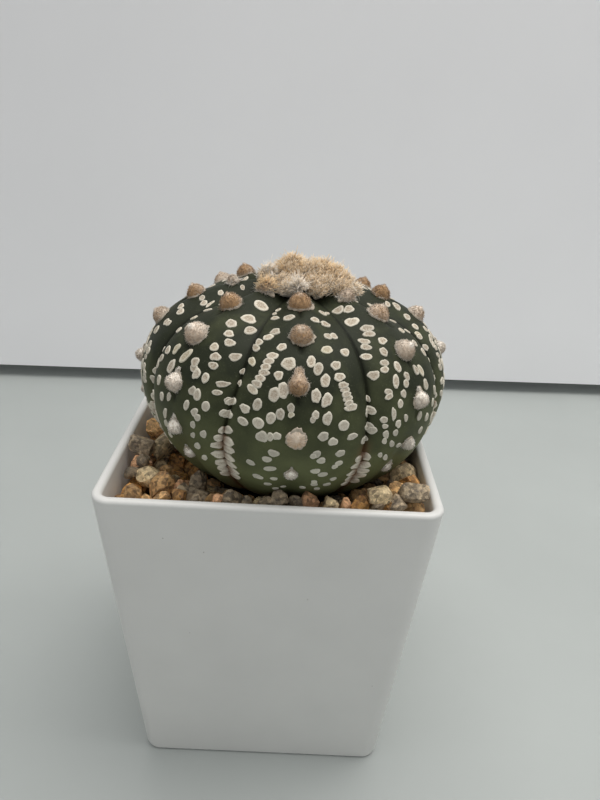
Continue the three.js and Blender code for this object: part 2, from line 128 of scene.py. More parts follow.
# Scale flecks of the front rib: latitude, share of the way from the middle line to the groove (left is
# negative), width and length in millimetres, and lean in degrees.
FRONT_FLECKS = [
    (55.7, -0.33, 2.5, 1.7, 5), (47.9, -0.59, 2.2, 1.7, 8), (44.7, -0.71, 2.1, 1.6, 10),
    (41.4, -0.88, 1.8, 1.7, 25), (38, -0.9, 1.9, 1.6, 0), (55.2, 0.33, 1.9, 1.6, 0),
    (54, 0.56, 2.2, 1.7, -8), (62.6, 0.67, 1.9, 1.4, -30), (46.6, 0.52, 1.7, 1.6, 0),
    (47.1, 0.64, 1.6, 1.7, 10), (39.5, 0.44, 2.2, 1.9, 25), (38.4, 0.75, 1.9, 1.9, 0),
    (39.6, -0.36, 1.8, 1.8, 0), (35.3, -0.51, 2.2, 1.6, 10), (32.6, -0.56, 2.2, 1.5, 15),
    (29.9, -0.59, 2.1, 1.5, 10), (27.3, -0.6, 2.1, 1.4, 0), (24.7, -0.64, 2.1, 1.4, -5),
    (22.1, -0.67, 2.2, 1.4, -10), (19.5, -0.72, 2.5, 1.5, -20), (32.2, -0.19, 2.7, 2.6, 0),
    (31.2, -0.88, 1.9, 1.7, 10), (26.9, -0.34, 1.8, 1.7, 0), (18.8, -0.36, 2.1, 2.8, 10),
    (20.9, -0.23, 2.1, 3, 12), (13.6, -0.58, 1.9, 2.2, -10), (10.8, -0.75, 2.4, 1.5, -18),
    (33.6, 0.17, 1.8, 2.3, -8), (30.6, 0.27, 1.9, 2.5, -12), (32.2, 0.54, 2.1, 1.8, 25),
    (25.6, 0.36, 1.9, 2.5, -15), (19.3, 0.23, 1.8, 2.7, 5), (17.5, 0.37, 1.9, 2.8, -18),
    (27, 0.57, 2.2, 1.7, 0), (23.4, 0.61, 2.1, 1.3, 5), (21.5, 0.63, 1.9, 1.2, 0),
    (19.4, 0.64, 1.9, 1.2, 8), (17.5, 0.66, 2.1, 1.2, 10), (15.5, 0.67, 1.9, 1.2, 12),
    (13.6, 0.7, 2.7, 1.4, 0), (14, -0.09, 1.5, 1.6, 0), (11.1, -0.08, 1.1, 1.2, 0),
    (8.9, -0.35, 1.9, 2.2, 0), (11, -0.23, 1.5, 2.4, 8), (5.9, -0.51, 2.3, 2.1, 0),
    (5.2, -0.73, 2.4, 1.5, -22), (0.2, -0.43, 2.4, 2.2, -30), (0.7, -0.32, 1.3, 1.7, 20),
    (1.3, -0.24, 1.6, 1.6, 0), (11.4, 0.23, 1.3, 1.7, -20), (9.5, 0.2, 1.1, 1.4, -10),
    (9.7, 0.38, 1.8, 2.6, -8), (6.1, 0.6, 2.1, 2.2, 0), (1.9, 0.34, 2.1, 1.8, 30),
    (-0.8, 0.47, 1.9, 1.7, 28), (0.5, 0.73, 2.3, 1.3, 12), (-6.7, -0.26, 2.1, 1.6, -8),
    (-10.1, -0.34, 1.9, 1.3, -5), (-13.4, -0.56, 1.8, 1.2, -15), (-15.2, -0.3, 2.4, 1.3, 10),
    (-21.3, -0.5, 1.6, 1.3, 0), (-22, -0.45, 1.5, 1, 10), (-21.8, -0.25, 1.5, 0.9, 0),
    (-26.3, -0.35, 1.5, 1, 0), (-6.2, 0.28, 1.8, 1.5, 30), (-7.1, 0.24, 1.3, 1.2, 20),
    (-9.5, 0.35, 1.7, 1.5, 10), (-6.6, 0.59, 2.1, 1.4, 15), (-11.7, 0.6, 1.7, 1.2, 15),
    (-13.4, 0.55, 1.2, 1.1, 0), (-15.3, 0.3, 1.8, 1.3, 5), (-17.6, 0.41, 1.9, 1.3, 8),
    (-21.6, 0.59, 1.3, 1, 15), (-22.9, 0.32, 1.3, 1, 0), (-24.8, 0.33, 1.4, 1, 0),
    (-25.5, 0.53, 1.5, 1, 10), (-29.1, -0.12, 1.2, 0.9, 0), (-28.5, 0.18, 1.3, 0.9, 0),
    (-30.4, -0.24, 1.3, 0.9, 0), (-28.8, 0.4, 1.3, 0.9, 0),
]
# The same for the ribs to its left and right
LEFT_FLECKS = [
    (63, 0.55, 3.1, 2.9, 0), (53, 0.6, 2.9, 2.6, 15), (47, 0.36, 2.4, 2.1, 0), (47, 0.81, 2.4, 2.3, 10),
    (42, 0.47, 2.2, 1.6, 10), (38, 0.59, 2.4, 1.7, -5), (34, 0.37, 1.7, 2.0, 0), (30, 0.48, 2.4, 1.6, 5),
    (26, 0.51, 2.1, 1.5, 0), (32, 0.8, 2.6, 1.6, 2), (20, 0.46, 1.5, 2.1, 20), (19, 0.77, 2.6, 1.3, 5),
    (15, 0.73, 2.1, 1.1, 5), (26, -0.08, 1.8, 3.4, -28), (19, -0.32, 2.0, 3.0, -15),
    (25, 0.17, 1.9, 2.0, 0), (22.5, 0.19, 1.8, 1.5, 0), (20.5, 0.28, 1.7, 2.1, -15),
    (27, -0.4, 1.7, 2.3, -15), (24, -0.65, 1.9, 1.9, 0), (19, -0.74, 1.8, 1.7, 0), (15, -0.81, 1.8, 1.5, 0),
    (13, 0.29, 1.6, 1.9, 0), (12, 0.4, 1.6, 2.4, 10), (8, 0.6, 1.7, 2.1, 12), (6, 0.21, 1.3, 2.1, -12),
    (4, 0.4, 1.5, 1.8, -10), (2, 0.47, 1.4, 1.5, 0), (-2, 0.37, 1.3, 1.5, 0), (-5, 0.61, 1.4, 1.7, -20),
    (-7, 0.35, 1.1, 1.3, -20), (-12, 0.42, 1.4, 1.7, -25), (-18, 0.52, 1.3, 1.6, -25),
    (6, 0.93, 2.1, 1.5, -10), (12, 0.93, 1.7, 1.2, -10), (10, -0.57, 1.4, 2.1, 10), (4, -0.41, 1.2, 2.0, 0),
    (6, -0.21, 1.1, 1.9, -15), (-3, -0.33, 1.2, 2.6, -20), (-8, -0.36, 1.2, 1.9, -20),
    (-14, -0.35, 1.3, 1.4, 0), (0, -0.83, 1.5, 1.8, 0), (-6, -0.81, 1.3, 1.5, 0), (57, -0.86, 2.6, 0.8, 40),
    (50, -0.84, 2.4, 0.9, 42), (43, -0.84, 2.0, 1.0, 50), (34, -0.84, 1.6, 1.5, 20),
    (38, -0.62, 1.5, 1.4, 0),
]
RIGHT_FLECKS = [
    (64, -0.68, 2.5, 2.3, 0), (61.5, -0.4, 2.3, 2.1, 10), (55, -0.66, 2.9, 2.6, 8),
    (49, -0.45, 2.9, 1.9, -7), (46, -0.51, 2.6, 1.6, -8), (43, -0.74, 2.5, 1.4, -20),
    (40, -0.77, 2.4, 1.4, -15), (35, -0.86, 2.5, 1.4, 0), (41, -0.32, 1.9, 1.8, 10),
    (36, -0.45, 1.7, 2.0, 10), (31, -0.55, 2.0, 1.4, 0), (28, -0.6, 2.0, 1.3, 0), (26, -0.84, 2.5, 1.8, 15),
    (22, -0.43, 1.5, 2.8, -10), (28, -0.3, 1.6, 2.3, 12), (18, -0.62, 1.8, 1.3, -15),
    (16, -0.62, 1.8, 1.2, 15), (23, -0.15, 1.4, 1.8, 10), (24, 0.14, 1.3, 2.3, 15),
    (23, 0.28, 1.5, 2.6, 15), (20, -0.2, 1.4, 1.7, 0), (16, -0.29, 1.3, 1.7, 15), (16, 0.34, 1.5, 2.5, 10),
    (12, -0.37, 1.2, 1.9, 12), (8, -0.51, 1.1, 2.5, 10), (6, -0.72, 1.7, 1.3, -15),
    (3, -0.68, 1.3, 1.0, -20), (3, -0.36, 1.3, 1.8, 15), (5, -0.18, 0.9, 1.7, 20), (3, 0.2, 1.4, 1.9, 10),
    (0, 0.44, 1.4, 1.8, 10), (-1, -0.38, 1.1, 1.6, 25), (-6, -0.39, 1.1, 1.7, 25),
    (-1, -0.62, 1.2, 2.0, 25), (-4, -0.62, 1.0, 1.5, 30), (-8, -0.12, 1.5, 1.1, 0), (-5, 0.34, 1.5, 1.5, 0),
    (-13, -0.42, 1.0, 1.8, 30), (-11, -0.61, 0.9, 1.4, 30), (-20, 0.0, 1.3, 1.6, 20),
    (10, -0.96, 2.5, 1.6, 0), (1, -0.92, 2.2, 1.5, 9), (55, 0.6, 2.2, 1.5, -10), (49, 0.78, 2.2, 1.0, -40),
    (43, 0.55, 1.8, 1.5, -10), (41, 0.85, 2.1, 1.0, -45), (35, 0.6, 1.7, 1.7, 0), (29, 0.72, 1.6, 1.9, 0),
    (10, 0.7, 1.4, 1.9, 10), (5, 0.62, 1.4, 1.8, 0), (-3, 0.7, 1.4, 1.7, 0),
]
# More of them nearer the crown, shown where a rib's points start low enough to clear the wool
TOP_FLECKS = [
    (57.5, -0.78, 1.8, 1.4, 0), (64.5, -0.88, 1.7, 0.7, 65), (63.5, 0.86, 1.2, 0.9, 0),
    (61, -0.9, 1.2, 0.7, 60),
]
CROWN_FLECKS = [
    (60, -0.5, 2.2, 1.3, 8), (63, 0.42, 2.2, 1.3, -8), (64, -0.86, 2.6, 0.7, 62), (67, 0.84, 2.6, 0.7, -62),
    (68, -0.5, 2.2, 1.2, 10), (71, 0.5, 2.0, 1.2, -10), (72, -0.85, 2.4, 0.7, 62), (75, 0.8, 2.4, 0.7, -62),
    (78, -0.5, 2.0, 1.2, 0), (80, 0.5, 1.8, 1.1, 0), (83, -0.4, 1.8, 1.0, 0),
]
# The paired scales in the groove to the right of each rib start at these latitudes, and above them lie
# single flecks, given by their degrees above the pairs and their width in millimetres
SEAM_TOPS = (-11.5, -3, -8, -2, -6, -9, -4, -1.5)
SEAM_FOOT = -33
SEAM_PITCH = 4.3
SINGLE_FLECKS = ((7, 2.4), (14, 2.1), (20, 0.9), (26, 0.9))
OWN_FLECKS = {0: FRONT_FLECKS + TOP_FLECKS, 1: RIGHT_FLECKS, 7: LEFT_FLECKS}
HIGHEST_FLECK = 71
LOWEST_FLECK = -40

# The camera, fitted to the pot's rim and foot: its place, its turns about Z, X and Z again in degrees, and
# the focal length in millimetres for a frame 36 mm high
CAMERA_PLACE = Vector((4.264, -132.87, 151.33)) * MM
CAMERA_HEADING = -0.533
CAMERA_PITCH = -25.949
CAMERA_ROLL = 3.081
CAMERA_LENS = 27.95
# The backdrop board and the overhead light, in metres and degrees
BOARD_PLACE = (0, 0.214, 0.6075)
BOARD_SIZE = (2.4, 0.036, 1.2)
BOARD_TURN = 2.28
KEY_PLACE = (0.17, 0.07, 0.66)
KEY_SIZE = (0.7, 0.45)

# Lumps of the crown's wool: place in the plant's frame, radius, height of the top, in millimetres, and tone
CROWN_LUMPS = [
    (-2.3, -2.2, 2.7, 27.2, 0.35), (-1.2, 0.6, 2.3, 26.3, 0.4), (2.0, -3.4, 2.5, 26.3, 0.5),
    (4.2, -2.6, 2.5, 26.6, 0.35), (7.2, -3.4, 2.4, 25.7, 0.3), (5.6, -0.6, 2.2, 25.4, 0.4),
    (9.0, -5.2, 2.0, 24.2, 0.5), (8.0, -7.4, 2.1, 23.3, 0.55), (10.6, -6.9, 1.8, 22.9, 0.7),
    (5.6, -6.2, 1.8, 23.8, 0.6), (2.4, -6.4, 1.9, 23.6, 0.6), (-0.8, -6.2, 1.6, 23.6, 0.75),
    (-0.8, -8.6, 1.4, 23.3, 1.0), (-3.8, -5.6, 1.7, 23.4, 0.6), (-6.9, -3.0, 1.9, 24.7, 0.9),
    (-4.6, 0.2, 1.9, 24.6, 0.6), (-3.0, -7.4, 1.7, 22.6, 0.8), (3.5, -7.7, 1.7, 22.5, 0.6),
    (-7.3, -7.6, 1.4, 22.9, 0.2), (0.4, 3.2, 2.2, 25.2, 0.45), (3.6, 2.2, 2.2, 25.4, 0.4),
    (-3.0, 3.0, 1.8, 24.4, 0.5), (7.0, 2.0, 1.8, 24.2, 0.5),
]


def linear(code):
    """An sRGB hex colour as linear red, green, blue and an alpha of 1."""
    shares = [int(code[place:place + 2], 16) / 255 for place in (1, 3, 5)]
    return (*(s / 12.92 if s <= 0.04045 else ((s + 0.055) / 1.055) ** 2.4 for s in shares), 1.0)


def size_setting(name, description, default):
    """A length in metres."""
    return FloatProperty(name=name, description=description, default=default, precision=5, unit="LENGTH")


def colour_setting(name, description, code):
    """A colour given by its hex code."""
    return FloatVectorProperty(name=name, description=description, default=linear(code), size=4,
                               subtype="COLOR")


class PotSettings(bpy.types.PropertyGroup):
    """The square plastic pot."""

    height: size_setting("Height", "From the floor to the top of the lip", POT_HIGH.z - POT_LOW.z)
    rim_width: size_setting("Rim width", "Across the flats at the lip", POT_HIGH.x - POT_LOW.x)
    base_width: size_setting("Base width", "Across the flats at the foot", 59.3 * MM)
    wall: size_setting("Wall", "Thickness of the sides", 2.1 * MM)
    floor: size_setting("Floor", "Thickness of the bottom", 2.2 * MM)
    corner: size_setting("Corner radius", "Rounding of the four upright corners", 4 * MM)
    lip: size_setting("Lip rounding", "Rounding of the lip's two edges", 0.85 * MM)
    foot: size_setting("Foot rounding", "Rounding of the bottom edge", 1 * MM)
    drain_radius: size_setting("Drain radius", "Radius of the four drain holes", 3.2 * MM)
    drain_offset: size_setting("Drain offset", "From the middle lines to each drain hole", 12 * MM)
    colour: colour_setting("Plastic", "Colour of the white plastic", "#dcdcd8")
    speck: colour_setting("Specks", "Colour of the few specks of grit on it", "#6d665b")


class FillingSettings(bpy.types.PropertyGroup):
    """The potting mix and the gravel."""

    crumb: size_setting("Crumb", "Size of the mix's crumbs", 1.3 * MM)
    mix: colour_setting("Potting mix", "Colour of the damp mix", "#3a2c21")
    stones: IntProperty(name="Stones", description="Number of gravel stones", default=225, min=1)
    smallest: size_setting("Smallest stone", "Radius of the smallest stones", 1.2 * MM)
    largest: size_setting("Largest stone", "Radius of the largest stones", 3.1 * MM)
    front_stones: IntProperty(name="Front stones", description="Stones wedged in at the front wall",
                              default=17, min=1)
    front_size: size_setting("Front stone size", "Mean radius of the stones at the front wall", 1.75 * MM)
    tan: colour_setting("Tan stone", "Colour of the tan granite grit", "#c7a06c")
    grey: colour_setting("Grey stone", "Colour of the grey-brown grit", "#9c8b71")
    gold: colour_setting("Golden stone", "Colour of the iron-stained grit", "#be9053")
    rust: colour_setting("Rusty stone", "Colour of the reddish brown grit", "#ac8462")
    cream: colour_setting("Cream stone", "Colour of the limestone grit", "#d3bd93")


class PlantSettings(bpy.types.PropertyGroup):
    """The ribbed green body."""

    radius: size_setting("Radius", "Half the width across the ribs", 34.5 * MM)
    dome: size_setting("Dome height", "From the widest place up to the dome's full height", 24.9 * MM)
    underside: size_setting("Underside depth", "From the widest place down to the root", 27.5 * MM)
    groove_depth: FloatProperty(name="Groove depth", description="Share of the radius", default=0.02)
    groove_width: FloatProperty(name="Groove width", description="Share of half a rib", default=0.13)
    crease_depth: size_setting("Crease depth", "Depth of the sharp line in each groove", 0.55 * MM)
    young: colour_setting("Young skin", "Colour of the skin near the crown", "#282c1e")
    old: colour_setting("Old skin", "Colour of the skin near the gravel", "#646948")
    cork: colour_setting("Cork", "Colour of the brown line low in the grooves", "#6b4c33")
    bark: colour_setting("Root bark", "Colour of the root", "#7a6247")


class FleckSettings(bpy.types.PropertyGroup):
    """The white scale flecks."""

    thickness: size_setting("Thickness", "How far a fleck stands out of the skin", 0.17 * MM)
    rim: colour_setting("Rim", "Colour of a fleck's raised rim", "#d9d2c1")
    heart: colour_setting("Heart", "Colour of a fleck's stippled middle", "#9c8b76")
    old: colour_setting("Old fleck", "Colour of the weathered flecks low down", "#cfccbd")
    stain: colour_setting("Stain", "Colour of the brown stain at the corky line", "#75563c")


class WoolSettings(bpy.types.PropertyGroup):
    """The wool of the spine points and the crown."""

    fuzz: size_setting("Fuzz", "Length of the short hairs on the spine points", 0.3 * MM)
    strand: size_setting("Strand", "Length of the crown's longer hairs", 1.5 * MM)
    fuzz_count: IntProperty(name="Fuzz hairs", description="Hairs on each spine point", default=900, min=0)
    strand_count: IntProperty(name="Crown hairs", description="Hairs on each lump of the crown", default=600,
                              min=0)
    brown: colour_setting("Brown wool", "Colour of the grown spine points", "#b2906a")
    gold: colour_setting("Golden wool", "Colour of the crown's newest wool", "#f4d6a8")
    white: colour_setting("White wool", "Colour of the palest wool", "#fbf4e8")


class StageSettings(bpy.types.PropertyGroup):
    """Floor, backdrop, light and camera."""

    floor: colour_setting("Floor", "Colour of the painted floor", "#b1b6b3")
    backdrop: colour_setting("Backdrop", "Colour of the backdrop board", "#f4f4f5")
    key_power: FloatProperty(name="Key light", description="Power of the overhead light, in watts",
                             default=4.0)
    ambient: FloatProperty(name="Ambient light", description="Strength of the even light all round",
                           default=0.6)


class CactusSettings(bpy.types.PropertyGroup):
    """All the settings of the potted cactus."""

    pot: PointerProperty(type=PotSettings)
    filling: PointerProperty(type=FillingSettings)
    plant: PointerProperty(type=PlantSettings)
    flecks: PointerProperty(type=FleckSettings)
    wool: PointerProperty(type=WoolSettings)
    stage: PointerProperty(type=StageSettings)


def settings():
    """The cactus settings of the scene."""
    return bpy.context.scene.star_cactus


# Draws and soft waves that are the same each run

def draw(a, b=0, c=0):
    """A repeatable draw from 0 to 1 for whole numbers or arrays of them."""
    mixed = np.asarray(a) * 12.9898 + np.asarray(b) * 78.233 + np.asarray(c) * 37.719 + SEED
    wave = np.sin(mixed) * 43758.5453
    return wave - np.floor(wave)


def spread(a, b=0, c=0):
    """The same, from -1 to 1."""
    return 2 * draw(a, b, c) - 1


def ripple(points, size, seed):
    """A smooth wandering value from -1 to 1 over points, with bumps of about the given size."""
    x, y, z = np.moveaxis(points / size * 2.6, -1, 0)
    first = np.sin(x + 1.9 * np.sin(y * 0.83 + seed) + seed)
    second = np.sin(y * 1.13 + 1.7 * np.sin(z * 0.91 + 1.3 * seed) + 2.1 * seed)
    third = np.sin(z * 1.07 + 1.8 * np.sin(x * 0.87 + 0.7 * seed) + 3.3 * seed)
    return (first + second + third) / 3


# Modelling

def deselect():
    bpy.ops.object.select_all(action="DESELECT")


def pick(obj):
    """Makes an object the only selected one, and active."""
    deselect()
    obj.select_set(True)
    bpy.context.view_layer.objects.active = obj


def start(name, primitive, **placing):
    """Adds a primitive, with its size and place applied, as the start of a piece."""
    deselect()
    primitive(**placing)
    obj = bpy.context.object
    obj.name = obj.data.name = name
    bpy.ops.object.transform_apply(location=True, rotation=True, scale=True)
    return obj


@contextmanager
def editing(obj):
    """Edit mode on one object."""
    pick(obj)
    bpy.ops.object.mode_set(mode="EDIT")
    yield
    bpy.ops.object.mode_set(mode="OBJECT")


def choose(kind, test):
    """In edit mode, selects the faces, edges or vertices that pass a test."""
    bpy.ops.mesh.select_mode(type=kind)
    bpy.ops.mesh.select_all(action="DESELECT")
    obj = bpy.context.object
    mesh = bmesh.from_edit_mesh(obj.data)
    for item in {"FACE": mesh.faces, "EDGE": mesh.edges, "VERT": mesh.verts}[kind]:
        if test(item):
            item.select_set(True)
    mesh.select_flush_mode()
    bmesh.update_edit_mesh(obj.data)


def finish_modifier(obj, name, kind, **values):
    """Adds a modifier with its values and applies it."""
    modifier = obj.modifiers.new(name, kind)
    for key, value in values.items():
        setattr(modifier, key, value)
    pick(obj)
    bpy.ops.object.modifier_apply(modifier=name)


def smooth_up_to(obj, degrees):
    """Smooth shading over edges that turn by less than this."""
    pick(obj)
    bpy.ops.object.shade_smooth_by_angle(angle=math.radians(degrees))


def points_of(mesh):
    points = np.empty(len(mesh.vertices) * 3)
    mesh.vertices.foreach_get("co", points)
    return points.reshape(-1, 3)


def move_points(mesh, points):
    mesh.vertices.foreach_set("co", points.reshape(-1))
    mesh.update()


def point_values(mesh, name, values):
    layer = mesh.attributes.new(name, "FLOAT", "POINT")
    layer.data.foreach_set("value", np.ascontiguousarray(values, dtype=np.float32))


def pattern(obj):
    """A modelled shape as points and triangles to be copied; the object itself goes."""
    with editing(obj):
        bpy.ops.mesh.select_all(action="SELECT")
        bpy.ops.mesh.quads_convert_to_tris()
    points = points_of(obj.data)
    triangles = np.array([face.vertices[:] for face in obj.data.polygons])
    bpy.data.objects.remove(obj)
    return points, triangles


def copies(name, parts):
    """One object from copied shapes. Each part has triangles, the copies' points and named point values."""
    points, triangles, values, offset = [], [], {}, 0
    for shape, places, named in parts:
        count, size = places.shape[:2]
        steps = offset + size * np.arange(count)
        triangles.append((shape[None] + steps[:, None, None]).reshape(-1, 3))
        points.append(places.reshape(-1, 3))
        for key, value in named.items():
            values.setdefault(key, []).append(np.broadcast_to(value, (count, size)).reshape(-1))
        offset += count * size
    mesh = bpy.data.meshes.new(name)
    mesh.from_pydata(np.concatenate(points).tolist(), [], np.concatenate(triangles).tolist())
    for key, chunks in values.items():
        point_values(mesh, key, np.concatenate(chunks))
    mesh.polygons.foreach_set("use_smooth", np.ones(len(mesh.polygons), dtype=bool))
    obj = bpy.data.objects.new(name, mesh)
    bpy.context.scene.collection.objects.link(obj)
    return obj


def in_pot(points):
    """Points of the plant's own frame, put in the pot."""
    matrix = np.array(PLANT)
    return points @ matrix[:3, :3].T + matrix[:3, 3]


def declare(obj, node, material):
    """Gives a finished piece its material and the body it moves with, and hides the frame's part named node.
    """
    obj.data.materials.clear()
    obj.data.materials.append(material)
    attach(obj, "root")
    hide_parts(node)
    return obj


# Materials

MAIN_OUTPUTS = {"ShaderNodeAttribute": "Fac", "ShaderNodeMix": 2}
# Settings that many nodes share: a blend of colours, colours multiplied, and the middle of a noise's range
BLEND = {"data_type": "RGBA"}
MULTIPLY = {**BLEND, "blend_type": "MULTIPLY", 0: 1.0}
MIDDLE = {"From Min": 0.3, "From Max": 0.7}


def add_node(tree, kind, values=None, links=None):
    """Adds a node with its settings and links. Keys that are numbers or capitalised are sockets, and a
    link comes from a socket, or from a node's main output."""
    node = tree.nodes.new("ShaderNode" + kind)
    for key, value in (values or {}).items():
        if key == "stops":
            stops = node.color_ramp.elements
            while len(stops) < len(value):
                stops.new(0.5)
            for stop, (place, colour) in zip(stops, value):
                stop.position, stop.color = place, colour
        elif isinstance(key, int) or key[0].isupper():
            node.inputs[key].default_value = value
        else:
            setattr(node, key, value)
    for key, source in (links or {}).items():
        if isinstance(source, bpy.types.Node):
            source = source.outputs[MAIN_OUTPUTS.get(source.bl_idname, 0)]
        tree.links.new(source, node.inputs[key])
    return node


def new_material(name):
    """A material, its empty node tree and the object coordinates in metres."""
    material = bpy.data.materials.new(name)
    material.use_nodes = True
    material.node_tree.nodes.clear()
    place = add_node(material.node_tree, "TexCoord").outputs["Object"]
    return material, material.node_tree, place


def read_values(tree, *names):
    """Nodes that read the named point values of a piece."""
    return [add_node(tree, "Attribute", {"attribute_name": name}) for name in names]


def surface(tree, values, links):
    """The shader and the output that ends a material."""
    shader = add_node(tree, "BsdfPrincipled", values, links)
    add_node(tree, "OutputMaterial", {}, {"Surface": shader})


def moulded_polypropylene(pot):
    """White injection-moulded polypropylene: a soft satin gloss, a faint orange-peel skin from the mould,
    and a few specks of grit and smears of lime dust."""
    material, tree, place = new_material("moulded_white_polypropylene")
    peel = add_node(tree, "TexNoise", {"Scale": 1 / (0.9 * MM), "Detail": 3.0}, {"Vector": place})
    smear = add_node(tree, "TexNoise", {"Scale": 1 / (14 * MM), "Detail": 5.0}, {"Vector": place})
    gloss = add_node(tree, "MapRange", {"To Min": 0.34, "To Max": 0.5}, {0: smear})
    cells = add_node(tree, "TexVoronoi", {"Scale": 1 / (4.2 * MM)}, {"Vector": place})
    speck = add_node(tree, "Math", {"operation": "LESS_THAN", 1: 0.035}, {0: cells.outputs["Distance"]})
    own = add_node(tree, "SeparateColor", {}, {"Color": cells.outputs["Color"]})
    rare = add_node(tree, "Math", {"operation": "LESS_THAN", 1: 0.16}, {0: own.outputs["Red"]})
    there = add_node(tree, "Math", {"operation": "MULTIPLY"}, {0: speck, 1: rare})
    faint = add_node(tree, "Math", {"operation": "MULTIPLY", 1: 0.55}, {0: there})
    shade = add_node(tree, "MapRange", {**MIDDLE, "To Min": 0.955, "To Max": 1.0}, {0: smear})
    tint = add_node(tree, "Mix", {**MULTIPLY, 6: pot.colour[:]}, {7: shade})
    colour = add_node(tree, "Mix", {**BLEND, 7: pot.speck[:]}, {0: faint, 6: tint})
    bump = add_node(tree, "Bump", {"Strength": 0.25, "Distance": 0.03 * MM}, {"Height": peel})
    surface(tree, {"IOR": 1.49, "Specular IOR Level": 0.5},
            {"Base Color": colour, "Roughness": gloss, "Normal": bump})
    return material


def damp_potting_mix(filling):
    """Peat and bark crumbs: nearly black where damp, with paler fibres and no gloss."""
    material, tree, place = new_material("damp_peat_mix")
    crumb = add_node(tree, "TexNoise", {"Scale": 1 / (1.6 * MM), "Detail": 6.0, "Roughness": 0.7},
                     {"Vector": place})
    stops = [(0.35, linear("#1d1510")), (0.62, filling.mix[:]), (0.8, linear("#6b5540"))]
    tone = add_node(tree, "ValToRGB", {"stops": stops}, {"Fac": crumb})
    bump = add_node(tree, "Bump", {"Strength": 0.9, "Distance": 0.5 * MM}, {"Height": crumb})
    surface(tree, {"Roughness": 0.95, "Specular IOR Level": 0.25}, {"Base Color": tone, "Normal": bump})
    return material


def crushed_stone(name, colour, second, glint):
    """Crushed and tumbled stone grit: grains of darker and paler mineral half a millimetre across, iron
    stains over several millimetres, and small glossy crystal faces among dull ones."""
    material, tree, place = new_material(name)
    (tint,) = read_values(tree, "tint")
    grains = add_node(tree, "TexVoronoi", {"Scale": 1 / (0.7 * MM)}, {"Vector": place})
    grain = add_node(tree, "SeparateColor", {}, {"Color": grains.outputs["Color"]})
    cloud = add_node(tree, "TexNoise", {"Scale": 1 / (1.5 * MM), "Detail": 8.0, "Roughness": 0.72},
                     {"Vector": place})
    stain = add_node(tree, "MapRange", {"From Min": 0.42, "From Max": 0.64}, {0: cloud})
    base = add_node(tree, "Mix", {**BLEND, 6: colour, 7: second}, {0: stain})
    speckle = add_node(tree, "MapRange", {"To Min": 0.5, "To Max": 1.65}, {0: grain.outputs["Red"]})
    mottled = add_node(tree, "Mix", MULTIPLY, {6: base, 7: speckle})
    shade = add_node(tree, "MapRange", {"To Min": 0.7, "To Max": 1.42}, {0: tint})
    toned = add_node(tree, "Mix", MULTIPLY, {6: mottled, 7: shade})
    gloss = add_node(tree, "MapRange", {"From Min": 0.55, "From Max": 0.95, "To Min": 0.8, "To Max": glint},
                     {0: grain.outputs["Green"]})
    rough = add_node(tree, "TexNoise", {"Scale": 1 / (0.45 * MM), "Detail": 6.0, "Roughness": 0.65},
                     {"Vector": place})
    bump = add_node(tree, "Bump", {"Strength": 1.0, "Distance": 0.4 * MM}, {"Height": rough})
    surface(tree, {"IOR": 1.54}, {"Base Color": toned, "Roughness": gloss, "Normal": bump})
    return material


def cactus_skin(plant):
    """Waxy cactus skin: a very dark green with a low satin gloss, clouded over centimetres, finely
    stippled with pale pores, lighter and yellower near the gravel, corky brown low in the grooves, and
    darkened by painted shade in the groove bottoms and the notches below the spine points."""
    material, tree, place = new_material("waxy_cactus_skin")
    age, groove, cork = read_values(tree, "age", "groove", "cork")
    cloud = add_node(tree, "TexNoise", {"Scale": 1 / (7 * MM), "Detail": 4.0}, {"Vector": place})
    drift = add_node(tree, "MapRange", {**MIDDLE, "To Min": -0.24, "To Max": 0.24}, {0: cloud})
    old = add_node(tree, "Math", {"operation": "ADD", "use_clamp": True}, {0: age, 1: drift})
    green = add_node(tree, "Mix", {**BLEND, 6: plant.young[:], 7: plant.old[:]}, {0: old})
    pores = add_node(tree, "TexNoise", {"Scale": 1 / (0.32 * MM), "Detail": 2.0}, {"Vector": place})
    pale = add_node(tree, "MapRange", {"From Min": 0.62, "From Max": 0.8, "To Min": 0.0, "To Max": 0.16},
                    {0: pores})
    stippled = add_node(tree, "Mix", {**BLEND, 7: linear("#9aa084")}, {0: pale, 6: green})
    # Painted shade: the colour is darkened to 0.45 in the groove bottoms and the notches
    painted_shade = add_node(tree, "MapRange", {"To Min": 1.0, "To Max": 0.45}, {0: groove})
    shaded = add_node(tree, "Mix", MULTIPLY, {6: stippled, 7: painted_shade})
    corky = add_node(tree, "Mix", {**BLEND, 7: plant.cork[:]}, {0: cork, 6: shaded})
    gloss = add_node(tree, "MapRange", {**MIDDLE, "To Min": 0.5, "To Max": 0.64}, {0: cloud})
    bump = add_node(tree, "Bump", {"Strength": 0.35, "Distance": 0.05 * MM}, {"Height": pores})
    surface(tree, {"IOR": 1.45, "Specular IOR Level": 0.17},
            {"Base Color": corky, "Roughness": gloss, "Normal": bump})
    return material


def root_bark(plant):
    """Dry root bark: dull brown with lengthwise cracks."""
    material, tree, place = new_material("dry_root_bark")
    long_way = add_node(tree, "Mapping", {"Scale": (1, 1, 0.2)}, {"Vector": place})
    cracks = add_node(tree, "TexNoise", {"Scale": 1 / (1.2 * MM), "Detail": 5.0}, {"Vector": long_way})
    stops = [(0.35, linear("#3d2c1e")), (0.65, plant.bark[:])]
    tone = add_node(tree, "ValToRGB", {"stops": stops}, {"Fac": cracks})
    bump = add_node(tree, "Bump", {"Strength": 0.7, "Distance": 0.2 * MM}, {"Height": cracks})
    surface(tree, {"Roughness": 0.9}, {"Base Color": tone, "Normal": bump})
    return material


